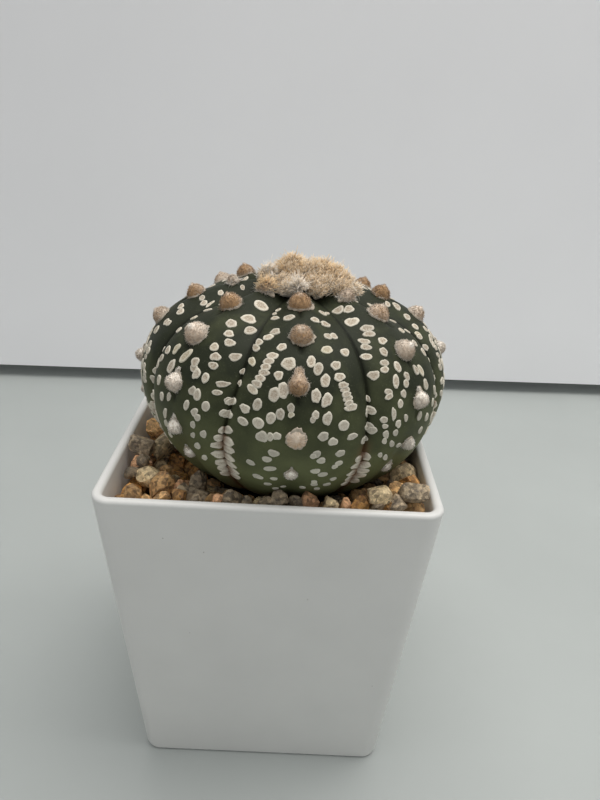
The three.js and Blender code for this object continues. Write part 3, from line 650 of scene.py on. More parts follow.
def scale_felt(flecks):
    """Matted trichome scales: dead white hairs felted into a disc, palest on the raised rim, pinkish tan and
    stippled in the middle, greyer low on the plant, and dull all over."""
    material, tree, place = new_material("felted_trichome_scale")
    rim, age, tint, stain = read_values(tree, "rim", "age", "tint", "stain")
    stipple = add_node(tree, "TexNoise", {"Scale": 1 / (0.26 * MM), "Detail": 3.0}, {"Vector": place})
    grain = add_node(tree, "MapRange", {**MIDDLE, "To Min": -0.1, "To Max": 0.75}, {0: stipple})
    edge = add_node(tree, "MapRange", {"From Min": 0.5, "From Max": 0.95}, {0: rim})
    ring = add_node(tree, "Math", {"operation": "ADD", "use_clamp": True}, {0: edge, 1: grain})
    young = add_node(tree, "Mix", {**BLEND, 6: flecks.heart[:], 7: flecks.rim[:]}, {0: ring})
    share = add_node(tree, "Math", {"operation": "MULTIPLY", 1: 0.8}, {0: age})
    aged = add_node(tree, "Mix", {**BLEND, 7: flecks.old[:]}, {0: share, 6: young})
    mossy = add_node(tree, "MapRange", {"From Min": 0.975, "From Max": 1.0, "To Min": 0.0, "To Max": 0.25},
                     {0: tint})
    tinted = add_node(tree, "Mix", {**BLEND, 7: linear("#aca77f")}, {0: mossy, 6: aged})
    light = add_node(tree, "MapRange", {"To Min": 0.84, "To Max": 1.09}, {0: tint})
    lit = add_node(tree, "Mix", MULTIPLY, {6: tinted, 7: light})
    soaked = add_node(tree, "Math", {"operation": "MULTIPLY", 1: 1.1, "use_clamp": True}, {0: stain})
    colour = add_node(tree, "Mix", {**BLEND, 7: flecks.stain[:]}, {0: soaked, 6: lit})
    bump = add_node(tree, "Bump", {"Strength": 0.6, "Distance": 0.08 * MM}, {"Height": stipple})
    surface(tree, {"Roughness": 0.92, "Specular IOR Level": 0.2}, {"Base Color": colour, "Normal": bump})
    return material


def spine_point_wool(name, wool, darkest, shade):
    """Dense short plant wool: brown or gold where its tone is low and creamy white where it is high, and
    without gloss. Painted shade darkens it by its depth values, down to the share shade in the roots of
    the hairs, low on the domes and in the crown's lump bodies, and painted light makes it up to a fifth
    lighter where the depth is full."""
    material, tree, place = new_material(name)
    tone, depth = read_values(tree, "tone", "depth")
    matting = add_node(tree, "TexNoise", {"Scale": 1 / (0.5 * MM), "Detail": 4.0}, {"Vector": place})
    drift = add_node(tree, "MapRange", {**MIDDLE, "To Min": -0.12, "To Max": 0.12}, {0: matting})
    share = add_node(tree, "Math", {"operation": "ADD", "use_clamp": True}, {0: tone, 1: drift})
    colour = add_node(tree, "Mix", {**BLEND, 6: darkest, 7: wool.white[:]}, {0: share})
    # Painted shade and light by depth: from the share shade at depth 0 up to 1.2 at full depth
    painted_shade = add_node(tree, "MapRange", {"To Min": shade, "To Max": 1.2}, {0: depth})
    shaded = add_node(tree, "Mix", MULTIPLY, {6: colour, 7: painted_shade})
    bump = add_node(tree, "Bump", {"Strength": 0.9, "Distance": 0.15 * MM}, {"Height": matting})
    surface(tree, {"Roughness": 1.0, "Specular IOR Level": 0.1, "Sheen Weight": 0.25, "Sheen Roughness": 0.5},
            {"Base Color": shaded, "Normal": bump})
    return material


def painted_board(name, colour, mottle, top):
    """Matt painted board: an even pale coat with a hardly visible roller texture, and painted shade that
    darkens it upwards. The share top is how light it still is 20 cm up, to even out the light from
    overhead."""
    material, tree, place = new_material(name)
    coat = add_node(tree, "TexNoise", {"Scale": 1 / (60 * MM), "Detail": 6.0}, {"Vector": place})
    shade = add_node(tree, "MapRange", {**MIDDLE, "To Min": 1 - mottle, "To Max": 1.0}, {0: coat})
    coated = add_node(tree, "Mix", {**MULTIPLY, 6: colour}, {7: shade})
    height = add_node(tree, "SeparateXYZ", {}, {"Vector": place})
    # Painted shade that darkens the board from 4 cm up to the share top at 20 cm
    painted_upward_shade = add_node(tree, "MapRange", {"From Min": 0.04, "From Max": 0.2, "To Min": 1.0, "To Max": top},
                    {0: height.outputs["Z"]})
    tint = add_node(tree, "Mix", MULTIPLY, {6: coated, 7: painted_upward_shade})
    roller = add_node(tree, "TexNoise", {"Scale": 1 / (1.5 * MM), "Detail": 3.0}, {"Vector": place})
    bump = add_node(tree, "Bump", {"Strength": 0.2, "Distance": 0.05 * MM}, {"Height": roller})
    surface(tree, {"Roughness": 0.6, "Specular IOR Level": 0.3}, {"Base Color": tint, "Normal": bump})
    return material


# The plant's surface

def across_rib(turn):
    """Where a turn lies across its rib: 0 at the middle, -1 and 1 at the grooves."""
    share = turn / RIB_ANGLE + 0.5
    return 2 * (share - np.floor(share)) - 1


def smooth_step(value, low, high):
    share = np.clip((value - low) / (high - low), 0, 1)
    return share * share * (3 - 2 * share)


def sway(turn, latitude):
    """How far the ribs stray from an even spacing: a little high up and more near the gravel."""
    step = np.mod(turn / RIB_ANGLE * 2, 2 * RIBS)
    first = np.floor(step).astype(int) % (2 * RIBS)
    share = step - np.floor(step)
    second = (first + 1) % (2 * RIBS)
    low = smooth_step(-latitude, math.radians(-30), math.radians(15))
    upper = UPPER_SWAY[first] * (1 - share) + UPPER_SWAY[second] * share
    lower = LOWER_SWAY[first] * (1 - share) + LOWER_SWAY[second] * share
    return upper * (1 - low) + lower * low


def skin(turn, latitude):
    """Points of the skin for arrays of turn and latitude, in the plant's own frame."""
    plant = settings().plant
    across = np.abs(across_rib(turn))
    bulge = RIB_BULGE * across ** 2
    above = np.maximum(np.sin(latitude), 0)
    below = np.maximum(-np.sin(latitude), 0)
    groove = plant.groove_depth * (1 - above ** 3) * np.exp(-(((1 - across) / plant.groove_width) ** 2))
    furrow = FURROW_DEPTH * np.exp(-((across / FURROW_WIDTH) ** 2))
    furrow = furrow * smooth_step(-latitude, 0, math.radians(35))
    crease = plant.crease_depth / plant.radius * np.exp(-(((1 - across) / 0.025) ** 2))
    radius = plant.radius * np.cos(latitude) * (1 - UNDERSIDE_TAPER * below ** 2)
    radius = radius * (1 - bulge - groove - furrow - crease)
    valley = (1 - np.cos(math.pi * across)) / 2
    relief = CROWN_RELIEF * valley * radius / (radius + RELIEF_START)
    height = plant.dome * above - plant.underside * below - (CROWN_DIP + relief) * above ** 3
    place = turn + sway(turn, latitude)
    return np.stack([radius * np.sin(place), -radius * np.cos(place), height], axis=-1)


def seats(turn, latitude):
    """At each place on the skin: the point, and the unit directions east, north and out, and the
    metres that one radian goes east and north."""
    step = 0.02
    east = skin(turn + step, latitude) - skin(turn - step, latitude)
    north = skin(turn, latitude + step) - skin(turn, latitude - step)
    east_scale = np.linalg.norm(east, axis=-1, keepdims=True)
    north_scale = np.linalg.norm(north, axis=-1, keepdims=True)
    east = east / east_scale
    out = np.cross(east, north / north_scale)
    out /= np.linalg.norm(out, axis=-1, keepdims=True)
    scales = [size[..., 0] / (2 * step) for size in (east_scale, north_scale)]
    return skin(turn, latitude), east, np.cross(out, east), out, *scales


def laid_on_skin(flat, turn, latitude, roll):
    """Flat points, east, north and height in metres, laid on the skin round each place after a roll."""
    east_scale, north_scale = seats(turn, latitude)[4:]
    c, s = np.cos(roll)[:, None], np.sin(roll)[:, None]
    east = flat[..., 0] * c - flat[..., 1] * s
    north = flat[..., 0] * s + flat[..., 1] * c
    point_turn = turn[:, None] + east / east_scale[:, None]
    point_latitude = latitude[:, None] + north / north_scale[:, None]
    point, _, _, out, _, _ = seats(point_turn, point_latitude)
    return point + out * flat[..., 2:3]


def drop_of(rib):
    """Each rib's points start a little lower than its neighbour's, three eighths of a turn apart."""
    return ((-3 * rib) % RIBS) * (SPIRAL_DROP / RIBS)


def shown_areoles():
    """Kind, order, turn and latitude of each spine point that clears the crown's wool."""
    shown = []
    for rib in range(RIBS):
        for order, common in enumerate(AREOLES):
            kind = {**common, **OWN_AREOLES.get((rib, order), {})}
            latitude = FIRST_AREOLE - drop_of(rib) * kind["fall"] - kind["below"]
            if latitude < HIGHEST_AREOLE:
                turn = (rib + 0.03 * float(spread(rib, order, 1))) * RIB_ANGLE + math.radians(kind["aside"])
                kind["across"] *= RIB_SIZES[rib]
                kind["height"] *= RIB_SIZES[rib]
                shown.append((kind, order, turn, math.radians(latitude)))
    return shown


# Pieces

def build_pot(pot):
    """A box tapered, rounded and hollowed, with four drain holes cut in its floor."""
    taper = pot.rim_width / pot.base_width
    obj = start("pot_shell", bpy.ops.mesh.primitive_cube_add, size=1, location=(0, 0, pot.height / 2),
                scale=(pot.base_width, pot.base_width, pot.height))
    top = pot.height
    inside_top = pot.rim_width / 2 - pot.wall
    inside_floor = (pot.base_width + (pot.rim_width - pot.base_width) * pot.floor / top) / 2 - pot.wall
    narrow = inside_floor / inside_top

    def sharp_at(height):
        """A test for the sharp edges at a height."""
        return lambda edge: (edge.calc_face_angle(0) > 1
                             and all(abs(end.co.z - height) < 1e-5 for end in edge.verts))

    with editing(obj):
        choose("FACE", lambda face: face.normal.z > 0.9)
        bpy.ops.transform.resize(value=(taper, taper, 1), center_override=(0, 0, top))
        choose("EDGE", lambda edge: abs(edge.verts[0].co.z - edge.verts[1].co.z) > top / 2)
        bpy.ops.mesh.bevel(offset=pot.corner, segments=10, affect="EDGES")
        choose("FACE", lambda face: face.normal.z > 0.9)
        bpy.ops.mesh.inset(thickness=pot.wall)
        bpy.ops.mesh.extrude_region_move(TRANSFORM_OT_translate={"value": (0, 0, pot.floor - top)})
        bpy.ops.transform.resize(value=(narrow, narrow, 1), center_override=(0, 0, pot.floor))
        choose("EDGE", sharp_at(top))
        bpy.ops.mesh.bevel(offset=pot.lip, segments=5, affect="EDGES")
        choose("EDGE", sharp_at(0))
        bpy.ops.mesh.bevel(offset=pot.foot, segments=3, affect="EDGES")
        choose("EDGE", sharp_at(pot.floor))
        bpy.ops.mesh.bevel(offset=1.2 * MM, segments=4, affect="EDGES")
    for side_x in (-1, 1):
        for side_y in (-1, 1):
            cutter = start("drain", bpy.ops.mesh.primitive_cylinder_add, vertices=32, radius=pot.drain_radius,
                           depth=3 * pot.floor,
                           location=(side_x * pot.drain_offset, side_y * pot.drain_offset, pot.floor / 2))
            finish_modifier(obj, "drain", "BOOLEAN", object=cutter, operation="DIFFERENCE", solver="EXACT")
            bpy.data.objects.remove(cutter)
    smooth_up_to(obj, 40)
    declare(obj, "pot", moulded_polypropylene(pot))


def build_soil(filling):
    """The mix keeps the frame's block, with its hollow for the root, and gets a crumbly surface."""
    obj = bpy.data.objects.new("potting_mix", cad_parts["soil"].data.copy())
    bpy.context.scene.collection.objects.link(obj)
    with editing(obj):
        bpy.ops.mesh.select_all(action="SELECT")
        bpy.ops.mesh.remove_doubles(threshold=1e-6)
    finish_modifier(obj, "crumb", "REMESH", mode="VOXEL", voxel_size=filling.crumb)
    points = points_of(obj.data)
    normals = np.empty(len(points) * 3)
    obj.data.vertices.foreach_get("normal", normals)
    crumbs = ripple(points, 2.2 * MM, 1.1) + 0.6 * ripple(points, 1.2 * MM, 2.3)
    sink = -(0.35 + 0.25 * crumbs) * MM
    points += normals.reshape(-1, 3) * sink[:, None]
    points[:, 2] = np.maximum(points[:, 2], SOIL_LOW.z)
    move_points(obj.data, points)
    declare(obj, "soil", damp_potting_mix(filling))


def settled_stones(filling, plant):
    """Places and radii of stones dropped on the mix: they sink, push each other apart, and stay between
    the pot's walls and off the plant."""
    count = filling.stones
    index = np.arange(count)
    radius = filling.smallest + (filling.largest - filling.smallest) * draw(index, 40) ** 0.75
    reach = POT_HIGH.x - 3.2 * MM
    # They start about the rim's height, in metres above the floor
    high = 0.078 + 0.012 * draw(index, 43)
    place = np.stack([reach * spread(index, 41), reach * spread(index, 42), high], axis=-1)
    turned = np.array(PLANT.to_3x3())
    centre = np.array(PLANT.translation)
    girth = np.array([plant.radius, plant.radius, plant.underside])
    reach_of = radius[:, None] + radius[None]
    # They fall for 360 steps and then only settle. In each step those that overlap push each other apart,
    # and those in the plant, its root or a wall move out of it
    for step in range(420):
        place[:, 2] -= 0.06 * MM if step < 360 else 0
        for _ in range(2):
            gap = place[:, None] - place[None]
            distance = np.linalg.norm(gap, axis=-1) + 1e-9
            overlap = np.clip(0.86 * reach_of - distance, 0, None)
            np.fill_diagonal(overlap, 0)
            place += 0.3 * np.sum(gap / distance[..., None] * overlap[..., None], axis=1)
            local = (place - centre) @ turned
            grown = girth + 0.8 * radius[:, None]
            share = np.linalg.norm(local / grown, axis=-1, keepdims=True)
            local = np.where(share < 1, local / share, local)
            place = local @ turned.T + centre
            near = np.hypot(place[:, 0] - centre[0], place[:, 1] - centre[1])[:, None]
            away = np.maximum(1, 13 * MM / np.maximum(near, 1e-6))
            place[:, :2] = centre[:2] + (place[:, :2] - centre[:2]) * away
            side = (reach - 0.88 * radius)[:, None]
            place[:, :2] = np.clip(place[:, :2], -side, side)
            place[:, 2] = np.maximum(place[:, 2], SOIL_HIGH.z + 0.5 * radius)
    # A row of smaller ones just below the lip at the front wall
    front = np.arange(filling.front_stones)
    size = filling.front_size * (1 + 0.34 * spread(front, 45))
    row = np.stack([
        reach * (-0.86 + 1.74 * (front + 0.3 * spread(front, 46)) / filling.front_stones),
        0.85 * size - reach,
        POT_HIGH.z - 1.6 * MM + 0.6 * MM * spread(front, 47),
    ], axis=-1)
    return np.concatenate([place, row]), np.concatenate([radius, size])


def stone_shapes(count):
    """Rough grit shapes of unit radius: an icosphere broken along flat faces, with its edges worn."""
    shapes = []
    for number in range(count):
        obj = start("stone", bpy.ops.mesh.primitive_ico_sphere_add, subdivisions=3, radius=1)
        with editing(obj):
            for cut in range(8):
                normal = Vector([float(spread(number, cut, axis)) for axis in (50, 51, 52)]).normalized()
                depth = 0.55 + 0.3 * float(draw(number, cut, 53))
                bpy.ops.mesh.select_all(action="SELECT")
                bpy.ops.mesh.bisect(plane_co=normal * depth, plane_no=normal, use_fill=True, clear_outer=True)
        points = points_of(obj.data)
        rough = 0.09 * ripple(points, 0.9, number) + 0.075 * ripple(points, 0.42, number + 9.0)
        points *= 1 + rough[:, None]
        move_points(obj.data, points)
        shapes.append(pattern(obj))
    return shapes


def turns(index, tag):
    """A random turn in space for each copy, as 3 x 3 matrices."""
    angles = np.pi * np.stack([spread(index, tag), spread(index, tag + 1), spread(index, tag + 2)], axis=-1)
    return np.array([Euler(angle).to_matrix() for angle in angles])


def build_gravel(filling, plant):
    """The stones in five kinds of rock, each kind a piece."""
    place, radius = settled_stones(filling, plant)
    shapes = stone_shapes(14)
    kinds = [
        ("tan", 0.32, crushed_stone("tan_granite_grit", filling.tan[:], linear("#8b6a48"), 0.35)),
        ("grey", 0.56, crushed_stone("grey_granite_grit", filling.grey[:], linear("#5f564a"), 0.4)),
        ("gold", 0.76, crushed_stone("iron_stained_grit", filling.gold[:], linear("#7b5636"), 0.2)),
        ("rust", 0.88, crushed_stone("rusty_feldspar_grit", filling.rust[:], linear("#c79a72"), 0.3)),
        ("cream", 1.01, crushed_stone("cream_limestone_grit", filling.cream[:], linear("#9c8a6e"), 0.6)),
    ]
    index = np.arange(len(radius))
    kind_draw, shape_of = draw(index, 60), (draw(index, 61) * len(shapes)).astype(int)
    low = 0.0
    for name, high, material in kinds:
        parts = []
        for number, (points, triangles) in enumerate(shapes):
            own = index[(kind_draw >= low) & (kind_draw < high) & (shape_of == number)]
            if len(own) == 0:
                continue
            stretch = [mean + loose * spread(own, tag)
                       for mean, loose, tag in ((1.15, 0.2, 62), (1, 0.12, 63), (0.84, 0.12, 64))]
            stretch = np.stack(stretch, axis=-1)
            shaped = points[None] * (stretch * radius[own][:, None])[:, None]
            turned = np.einsum("kij,kmj->kmi", turns(own, 65), shaped)
            parts.append((triangles, turned + place[own][:, None], {"tint": draw(own, 68)[:, None]}))
        obj = copies(f"gravel_{name}", parts)
        low = high
        smooth_up_to(obj, 32)
        declare(obj, "gravel", material)


def build_skin(plant):
    """The ribbed skin, with its grooves, its notches below the spine points and slight waves."""
    around = 40 * RIBS
    obj = start("cactus_skin", bpy.ops.mesh.primitive_uv_sphere_add, segments=around, ring_count=160,
                radius=1)
    points = points_of(obj.data)
    latitude = np.arcsin(np.clip(points[:, 2], -1, 1))
    turn = np.arctan2(points[:, 0], -points[:, 1])
    rib = np.round(turn / RIB_ANGLE)
    share = (turn / RIB_ANGLE - rib) * 2
    closer = share - 0.14 * np.sin(2 * math.pi * share)
    turn = (rib + closer / 2) * RIB_ANGLE
    shaped = skin(turn, latitude)
    out = shaped / np.linalg.norm(shaped, axis=-1, keepdims=True)
    waves = 0.05 * MM * ripple(shaped, 9 * MM, 5.0) + 0.02 * MM * ripple(shaped, 3 * MM, 6.0)
    shaped += out * (waves - 0.04 * MM)[:, None]
    # A short notch in the rib's ridge below each of the upper spine points
    notch = np.zeros(len(shaped))
    for _, order, place_turn, place_latitude in shown_areoles():
        if order in (1, 2, 3):
            aside = (turn - place_turn + math.pi) % (2 * math.pi) - math.pi
            sideways = aside * plant.radius * math.cos(place_latitude)
            below = (place_latitude - latitude) * plant.dome * 1.2
            reach = smooth_step(below, 1.2 * MM, 2.2 * MM)
            reach = reach * (1 - smooth_step(below, 3.6 * MM, 5.0 * MM))
            notch = np.maximum(notch, reach * np.exp(-((sideways / (0.45 * MM)) ** 2)))
    shaped -= out * (0.45 * MM * notch)[:, None]
    across = np.abs(across_rib(turn))
    deep = np.exp(-(((1 - across) / 0.05) ** 2))
    low = smooth_step(-latitude, math.radians(0), math.radians(12))
    point_values(obj.data, "age", smooth_step(-latitude, math.radians(-30), math.radians(32)))
    # The groove value marks painted shade in the groove bottoms and in the notches below the spine points
    point_values(obj.data, "groove", np.maximum(deep, 0.9 * notch))
    point_values(obj.data, "cork", low * np.exp(-(((1 - across) / 0.1) ** 2)) * 0.85)
    move_points(obj.data, in_pot(shaped))
    obj.data.polygons.foreach_set("use_smooth", np.ones(len(obj.data.polygons), dtype=bool))
    declare(obj, "cactus_body", cactus_skin(plant))


def build_root(plant):
    """The tap root below the body, tapered and knobbly, in the hollow of the potting mix."""
    top = -plant.underside + 1.5 * MM
    obj = start("tap_root", bpy.ops.mesh.primitive_cylinder_add, vertices=32, radius=ROOT_RADIUS,
                depth=ROOT_DEPTH, location=(0, 0, top - ROOT_DEPTH / 2))
    with editing(obj):
        choose("FACE", lambda face: face.normal.z < -0.9)
        bpy.ops.transform.resize(value=(0.3, 0.3, 1), center_override=(0, 0, top - ROOT_DEPTH))
        choose("EDGE", lambda edge: abs(edge.verts[0].co.z - edge.verts[1].co.z) > ROOT_DEPTH / 2)
        bpy.ops.mesh.subdivide(number_cuts=24)
    points = points_of(obj.data)
    knobs = 0.9 - 0.08 * ripple(points, 5 * MM, 3.0) - 0.05 * ripple(points, 2 * MM, 7.0)
    points[:, :2] *= knobs[:, None]
    move_points(obj.data, in_pot(points))
    smooth_up_to(obj, 50)
    declare(obj, "cactus_body", root_bark(plant))


def scale_shape(sides):
    """A fleck of unit radius: a thin raised rim round a low heart, and a skirt that goes under the skin."""
    obj = start("scale", bpy.ops.mesh.primitive_circle_add, vertices=sides, radius=1, fill_type="NGON")
    with editing(obj):
        choose("FACE", lambda face: True)
        bpy.ops.mesh.inset(thickness=0.1)
        bpy.ops.transform.translate(value=(0, 0, 0.6))
        bpy.ops.mesh.inset(thickness=0.26)
        bpy.ops.transform.translate(value=(0, 0, -0.2))
        bpy.ops.mesh.poke()
        choose("EDGE", lambda edge: edge.is_boundary)
        bpy.ops.mesh.extrude_region_move(TRANSFORM_OT_translate={"value": (0, 0, -1.6)})
        bpy.ops.mesh.select_all(action="SELECT")
        bpy.ops.transform.translate(value=(0, 0, 0.4))
        bpy.ops.mesh.normals_make_consistent(inside=False)
    return pattern(obj)


def fleck_list():
    """Turn, latitude, width, length and lean of every fleck, in radians and metres, rib by rib. Ribs
    without a list of their own get the front rib's, loosened and mirrored on every other one."""
    rows = []
    for rib in range(RIBS):
        own = OWN_FLECKS.get(rib)
        loose = 0 if own else 1
        mirror = 1 if own or rib % 2 == 0 else -1
        drop = 0 if own else drop_of(rib)
        for number, (latitude, share, width, length, lean) in enumerate(own or FRONT_FLECKS + CROWN_FLECKS):
            tag = number + 200 * rib
            latitude += loose * 1.6 * float(spread(tag, 70)) - drop
            share = mirror * share + loose * 0.045 * float(spread(tag, 71))
            grow = 1 + loose * 0.14 * float(spread(tag, 72))
            tilt = mirror * lean + loose * 14 * float(spread(tag, 73))
            missing = loose and draw(tag, 74) < 0.06
            if LOWEST_FLECK < latitude < HIGHEST_FLECK and not missing:
                rows.append(((rib + share / 2) * RIB_ANGLE, math.radians(latitude), width * grow,
                             length * grow, math.radians(tilt)))
        for step, width in SINGLE_FLECKS:
            tag = 7 * step + 300 * rib
            rows.append(((rib + 0.5 + 0.02 * float(spread(tag, 75))) * RIB_ANGLE,
                         math.radians(SEAM_TOPS[rib] + step + 1.5 * float(spread(tag, 76))), width,
                         1.0 + 0.25 * width, 0.3 * float(spread(tag, 77))))
    return np.array(rows) * (1, 1, MM, MM, 1)


def outline(index, corner, tag, depth):
    """How far each corner of a fleck's outline stands from a true circle: a few lobes, and some corners
    that stick out."""
    reach = np.zeros((len(index), corner.shape[-1]))
    for lobes, size in ((2, 0.5), (3, 0.5), (5, 0.35), (7, 0.2)):
        phase = 6.3 * draw(index, tag + 2 * lobes)[:, None]
        reach = reach + size * spread(index, tag + 2 * lobes + 1)[:, None] * np.cos(lobes * corner + phase)
    return 1 + depth * reach


def build_flecks(flecks):
    """Every fleck of the ribs, laid on the skin."""
    points, triangles = scale_shape(18)
    rim = np.hypot(points[:, 0], points[:, 1])
    corner = np.arctan2(points[:, 1], points[:, 0])[None]
    rows = fleck_list()
    index = np.arange(len(rows))
    turn, latitude, width, length, lean = rows.T
    shape = outline(index, corner, 80, 0.21)
    flat = np.stack([
        points[None, :, 0] * shape * width[:, None] / 2,
        points[None, :, 1] * shape * length[:, None] / 2,
        points[None, :, 2] * flecks.thickness * (1 + 0.25 * spread(index, 84)[:, None]),
    ], axis=-1)
    laid = laid_on_skin(flat, turn, latitude, lean)
    named = {"rim": rim[None], "tint": draw(index, 85)[:, None],
             "age": smooth_step(-latitude, math.radians(-30), math.radians(20))[:, None]}
    obj = copies("scale_flecks", [(triangles, in_pot(laid), named)])
    declare(obj, "cactus_body", scale_felt(flecks))


def build_seams(flecks):
    """Wedge-shaped scales in pairs low in each groove. Their thick ends meet at the corky line, and their
    points lean down and outwards like roof tiles."""
    points, triangles = scale_shape(18)
    rim = np.hypot(points[:, 0], points[:, 1])
    corner = np.arctan2(points[:, 1], points[:, 0])[None]
    rows = []
    for rib in range(RIBS):
        pairs = round((SEAM_TOPS[rib] - SEAM_FOOT) / SEAM_PITCH)
        for pair in range(pairs):
            for side in (-1, 1):
                tag = 20 * rib + 2 * pair + (side > 0)
                latitude = SEAM_TOPS[rib] - SEAM_PITCH * pair + 0.9 * float(spread(tag, 90))
                length = (2.0 if pair == 0 else 3.0) * (1 + 0.2 * float(spread(tag, 91)))
                aside = side * (length / 2 - 0.15) * MM / settings().plant.radius
                aside = aside / math.cos(math.radians(latitude))
                lean = -side * (2 + 16 * float(draw(tag, 93)))
                rows.append(((rib + 0.5) * RIB_ANGLE + aside, math.radians(latitude), length,
                             2.05 * (1 + 0.16 * float(spread(tag, 92))), math.radians(lean), side))
    turn, latitude, width, length, lean, side = (np.array(rows) * (1, 1, MM, MM, 1, 1)).T
    index = np.arange(len(turn)) + 900
    shape = outline(index, corner, 94, 0.3)
    outward = (1 + side[:, None] * points[None, :, 0]) / 2
    flat = np.stack([
        points[None, :, 0] * shape * width[:, None] / 2,
        points[None, :, 1] * shape * (1 - 0.32 * outward) * length[:, None] / 2,
        points[None, :, 2] * flecks.thickness * (2.8 - 1.8 * outward),
    ], axis=-1)
    laid = laid_on_skin(flat, turn, latitude, lean)
    named = {"rim": 0.55 + 0.45 * rim[None], "tint": 0.96 * draw(index, 99)[:, None] ** 0.4, "age": 0.2,
             "stain": np.clip(1.1 - 2.0 * outward + 0.3 * spread(index, 98)[:, None], 0, 0.8)}
    obj = copies("seam_scales", [(triangles, in_pot(laid), named)])
    declare(obj, "cactus_body", scale_felt(flecks))


def dome(direction, kind):
    """Points of a spine point's wool dome for unit directions, in its own frame, in metres."""
    x, y, z = np.moveaxis(direction, -1, 0)
    half = kind["across"] / 2
    lift = kind["nub"] * np.exp(-((np.hypot(x, y) / 0.24) ** 2)) * (z > 0)
    rise = np.clip((y - kind["neck"]) / (1 - kind["neck"]), 0, 1) * (kind["tip"] > 0)
    shoulder = math.sqrt(1 - kind["neck"] ** 2)
    neck = shoulder * (1 - kind["slim"] * smooth_step(rise, 0, 0.6)) * np.sqrt(1 - rise ** 4)
    round_y = np.maximum(np.hypot(x, z), 1e-6)
    girth = np.where(rise > 0, neck / round_y, 1.0)
    up = y * half + kind["tip"] * rise
    return np.stack([x * half * girth, up, z * girth * kind["height"] + lift], axis=-1) * MM


def wool_tone_with_painted_light(direction, kind, number):
    """Tone with painted light and shade: paler on the side towards the crown, where the overhead light
    falls, and browner below; paler on the nub, partly its own pale wool and partly a painted highlight.
    """
    x, y, z = np.moveaxis(direction, -1, 0)
    nub = np.exp(-((np.hypot(x, y) / 0.26) ** 2)) * (z > 0)
    own = kind["tone"] + 0.07 * float(spread(number, 101))
    # The slope towards the crown is painted light and shade, and the nub's paleness partly a painted
    # highlight
    return own + 0.22 * np.clip(y, -0.35, 1) + 0.8 * kind["nub"] * nub


def build_areoles(wool, flecks):
    """The wool domes of the spine points, the felt collars round them and their short hairs."""
    shown = shown_areoles()
    obj = start("dome", bpy.ops.mesh.primitive_uv_sphere_add, segments=48, ring_count=16, radius=1)
    with editing(obj):
        bpy.ops.mesh.select_all(action="SELECT")
        bpy.ops.mesh.bisect(plane_co=(0, 0, -0.3), plane_no=(0, 0, -1), use_fill=True, clear_outer=True)
    directions, triangles = pattern(obj)
    round_it = np.arctan2(directions[:, 1], directions[:, 0])
    streaks = np.cos(17 * round_it + 1.5 * np.sin(3 * round_it)) * (directions[:, 2] < 0.97)
    collar, collar_triangles = scale_shape(36)
    collar_corner = np.arctan2(collar[:, 1], collar[:, 0])
    hair = start("hair", bpy.ops.mesh.primitive_cone_add, vertices=3, radius1=1, depth=1,
                 location=(0, 0, 0.5))
    hair, hair_triangles = pattern(hair)
    domes, collars, fuzz = [], [], []
    for number, (kind, order, turn, latitude) in enumerate(shown):
        grow = 1 + 0.05 * float(spread(number, 100))
        point, east, north, out, _, _ = seats(np.array([turn]), np.array([latitude]))
        basis = np.stack([east[0], north[0], out[0]], axis=1)
        local = dome(directions, kind) * grow
        waves = 0.07 * MM * ripple(local, 1.2 * MM, number) + 0.04 * MM * ripple(local, 0.5 * MM, number + 5)
        waves = waves + kind["rosette"] * 0.09 * MM * streaks
        local = local + directions * waves[:, None]
        placed = in_pot(local @ basis.T + point[0] - out[0] * 0.1 * MM)
        tone = wool_tone_with_painted_light(directions, kind, number)
        # Painted light and shade: darker low on the dome, lighter on top and on the rosette's ridges, and
        # darker in its furrows
        depth = 0.1 + 0.6 * np.clip(directions[:, 2], 0, 1) + 0.5 * kind["rosette"] * streaks + 0.3 * tone
        domes.append((triangles, placed[None], {"tone": tone[None], "depth": depth[None]}))
        collars.append(collar_of(kind, number, collar, collar_corner, collar_triangles, turn, latitude,
                                 flecks))
        if not kind["rosette"]:
            fuzz.append(fuzz_of(kind, number, order, grow, basis, point[0], hair, hair_triangles, wool))
    declare(copies("spine_point_domes", domes), "cactus_body",
            spine_point_wool("matted_spine_wool", wool, wool.brown[:], 0.76))
    declare(copies("spine_point_collars", collars), "cactus_body",
            scale_felt(flecks))
    declare(copies("spine_point_fuzz", fuzz), "cactus_body",
            spine_point_wool("short_spine_wool", wool, wool.brown[:], 0.76))


def collar_of(kind, number, collar, corner, triangles, turn, latitude, flecks):
    """The ragged pale felt round a spine point. Its edge curls up, and it has thin wings at its sides."""
    index = np.arange(len(corner))
    around = np.cos(corner)
    rags = np.maximum(0, np.sin(4 * corner + number) * np.sin(7 * corner + 2 * number)) ** 2
    ragged = 1 + 0.06 * spread(np.round(corner * 5.73), number, 102) + 0.2 * rags
    wings = kind["wings"] * np.abs(around) ** 14 * (1 + 0.5 * float(spread(number, 103)) * np.sign(around))
    reach = kind["collar"] * kind["across"] / 2 * MM * (ragged + wings)
    point_up = 0.8 * kind["tip"] * MM * np.clip(np.sin(corner), 0, 1) ** 9
    rim = np.hypot(collar[:, 0], collar[:, 1])
    curl = 0.16 * MM * rim ** 6 * (1 + spread(index, number, 104)) * (collar[:, 2] > 0)
    flat = np.stack([
        collar[:, 0] * reach,
        collar[:, 1] * reach + point_up * rim,
        collar[:, 2] * flecks.thickness * 1.25 + curl,
    ], axis=-1)
    laid = laid_on_skin(flat[None], np.array([turn]), np.array([latitude]), np.array([0.0]))
    return triangles, in_pot(laid), {"rim": 0.75 + 0.25 * rim[None], "tint": 0.3, "age": 0.1, "stain": 0.35}


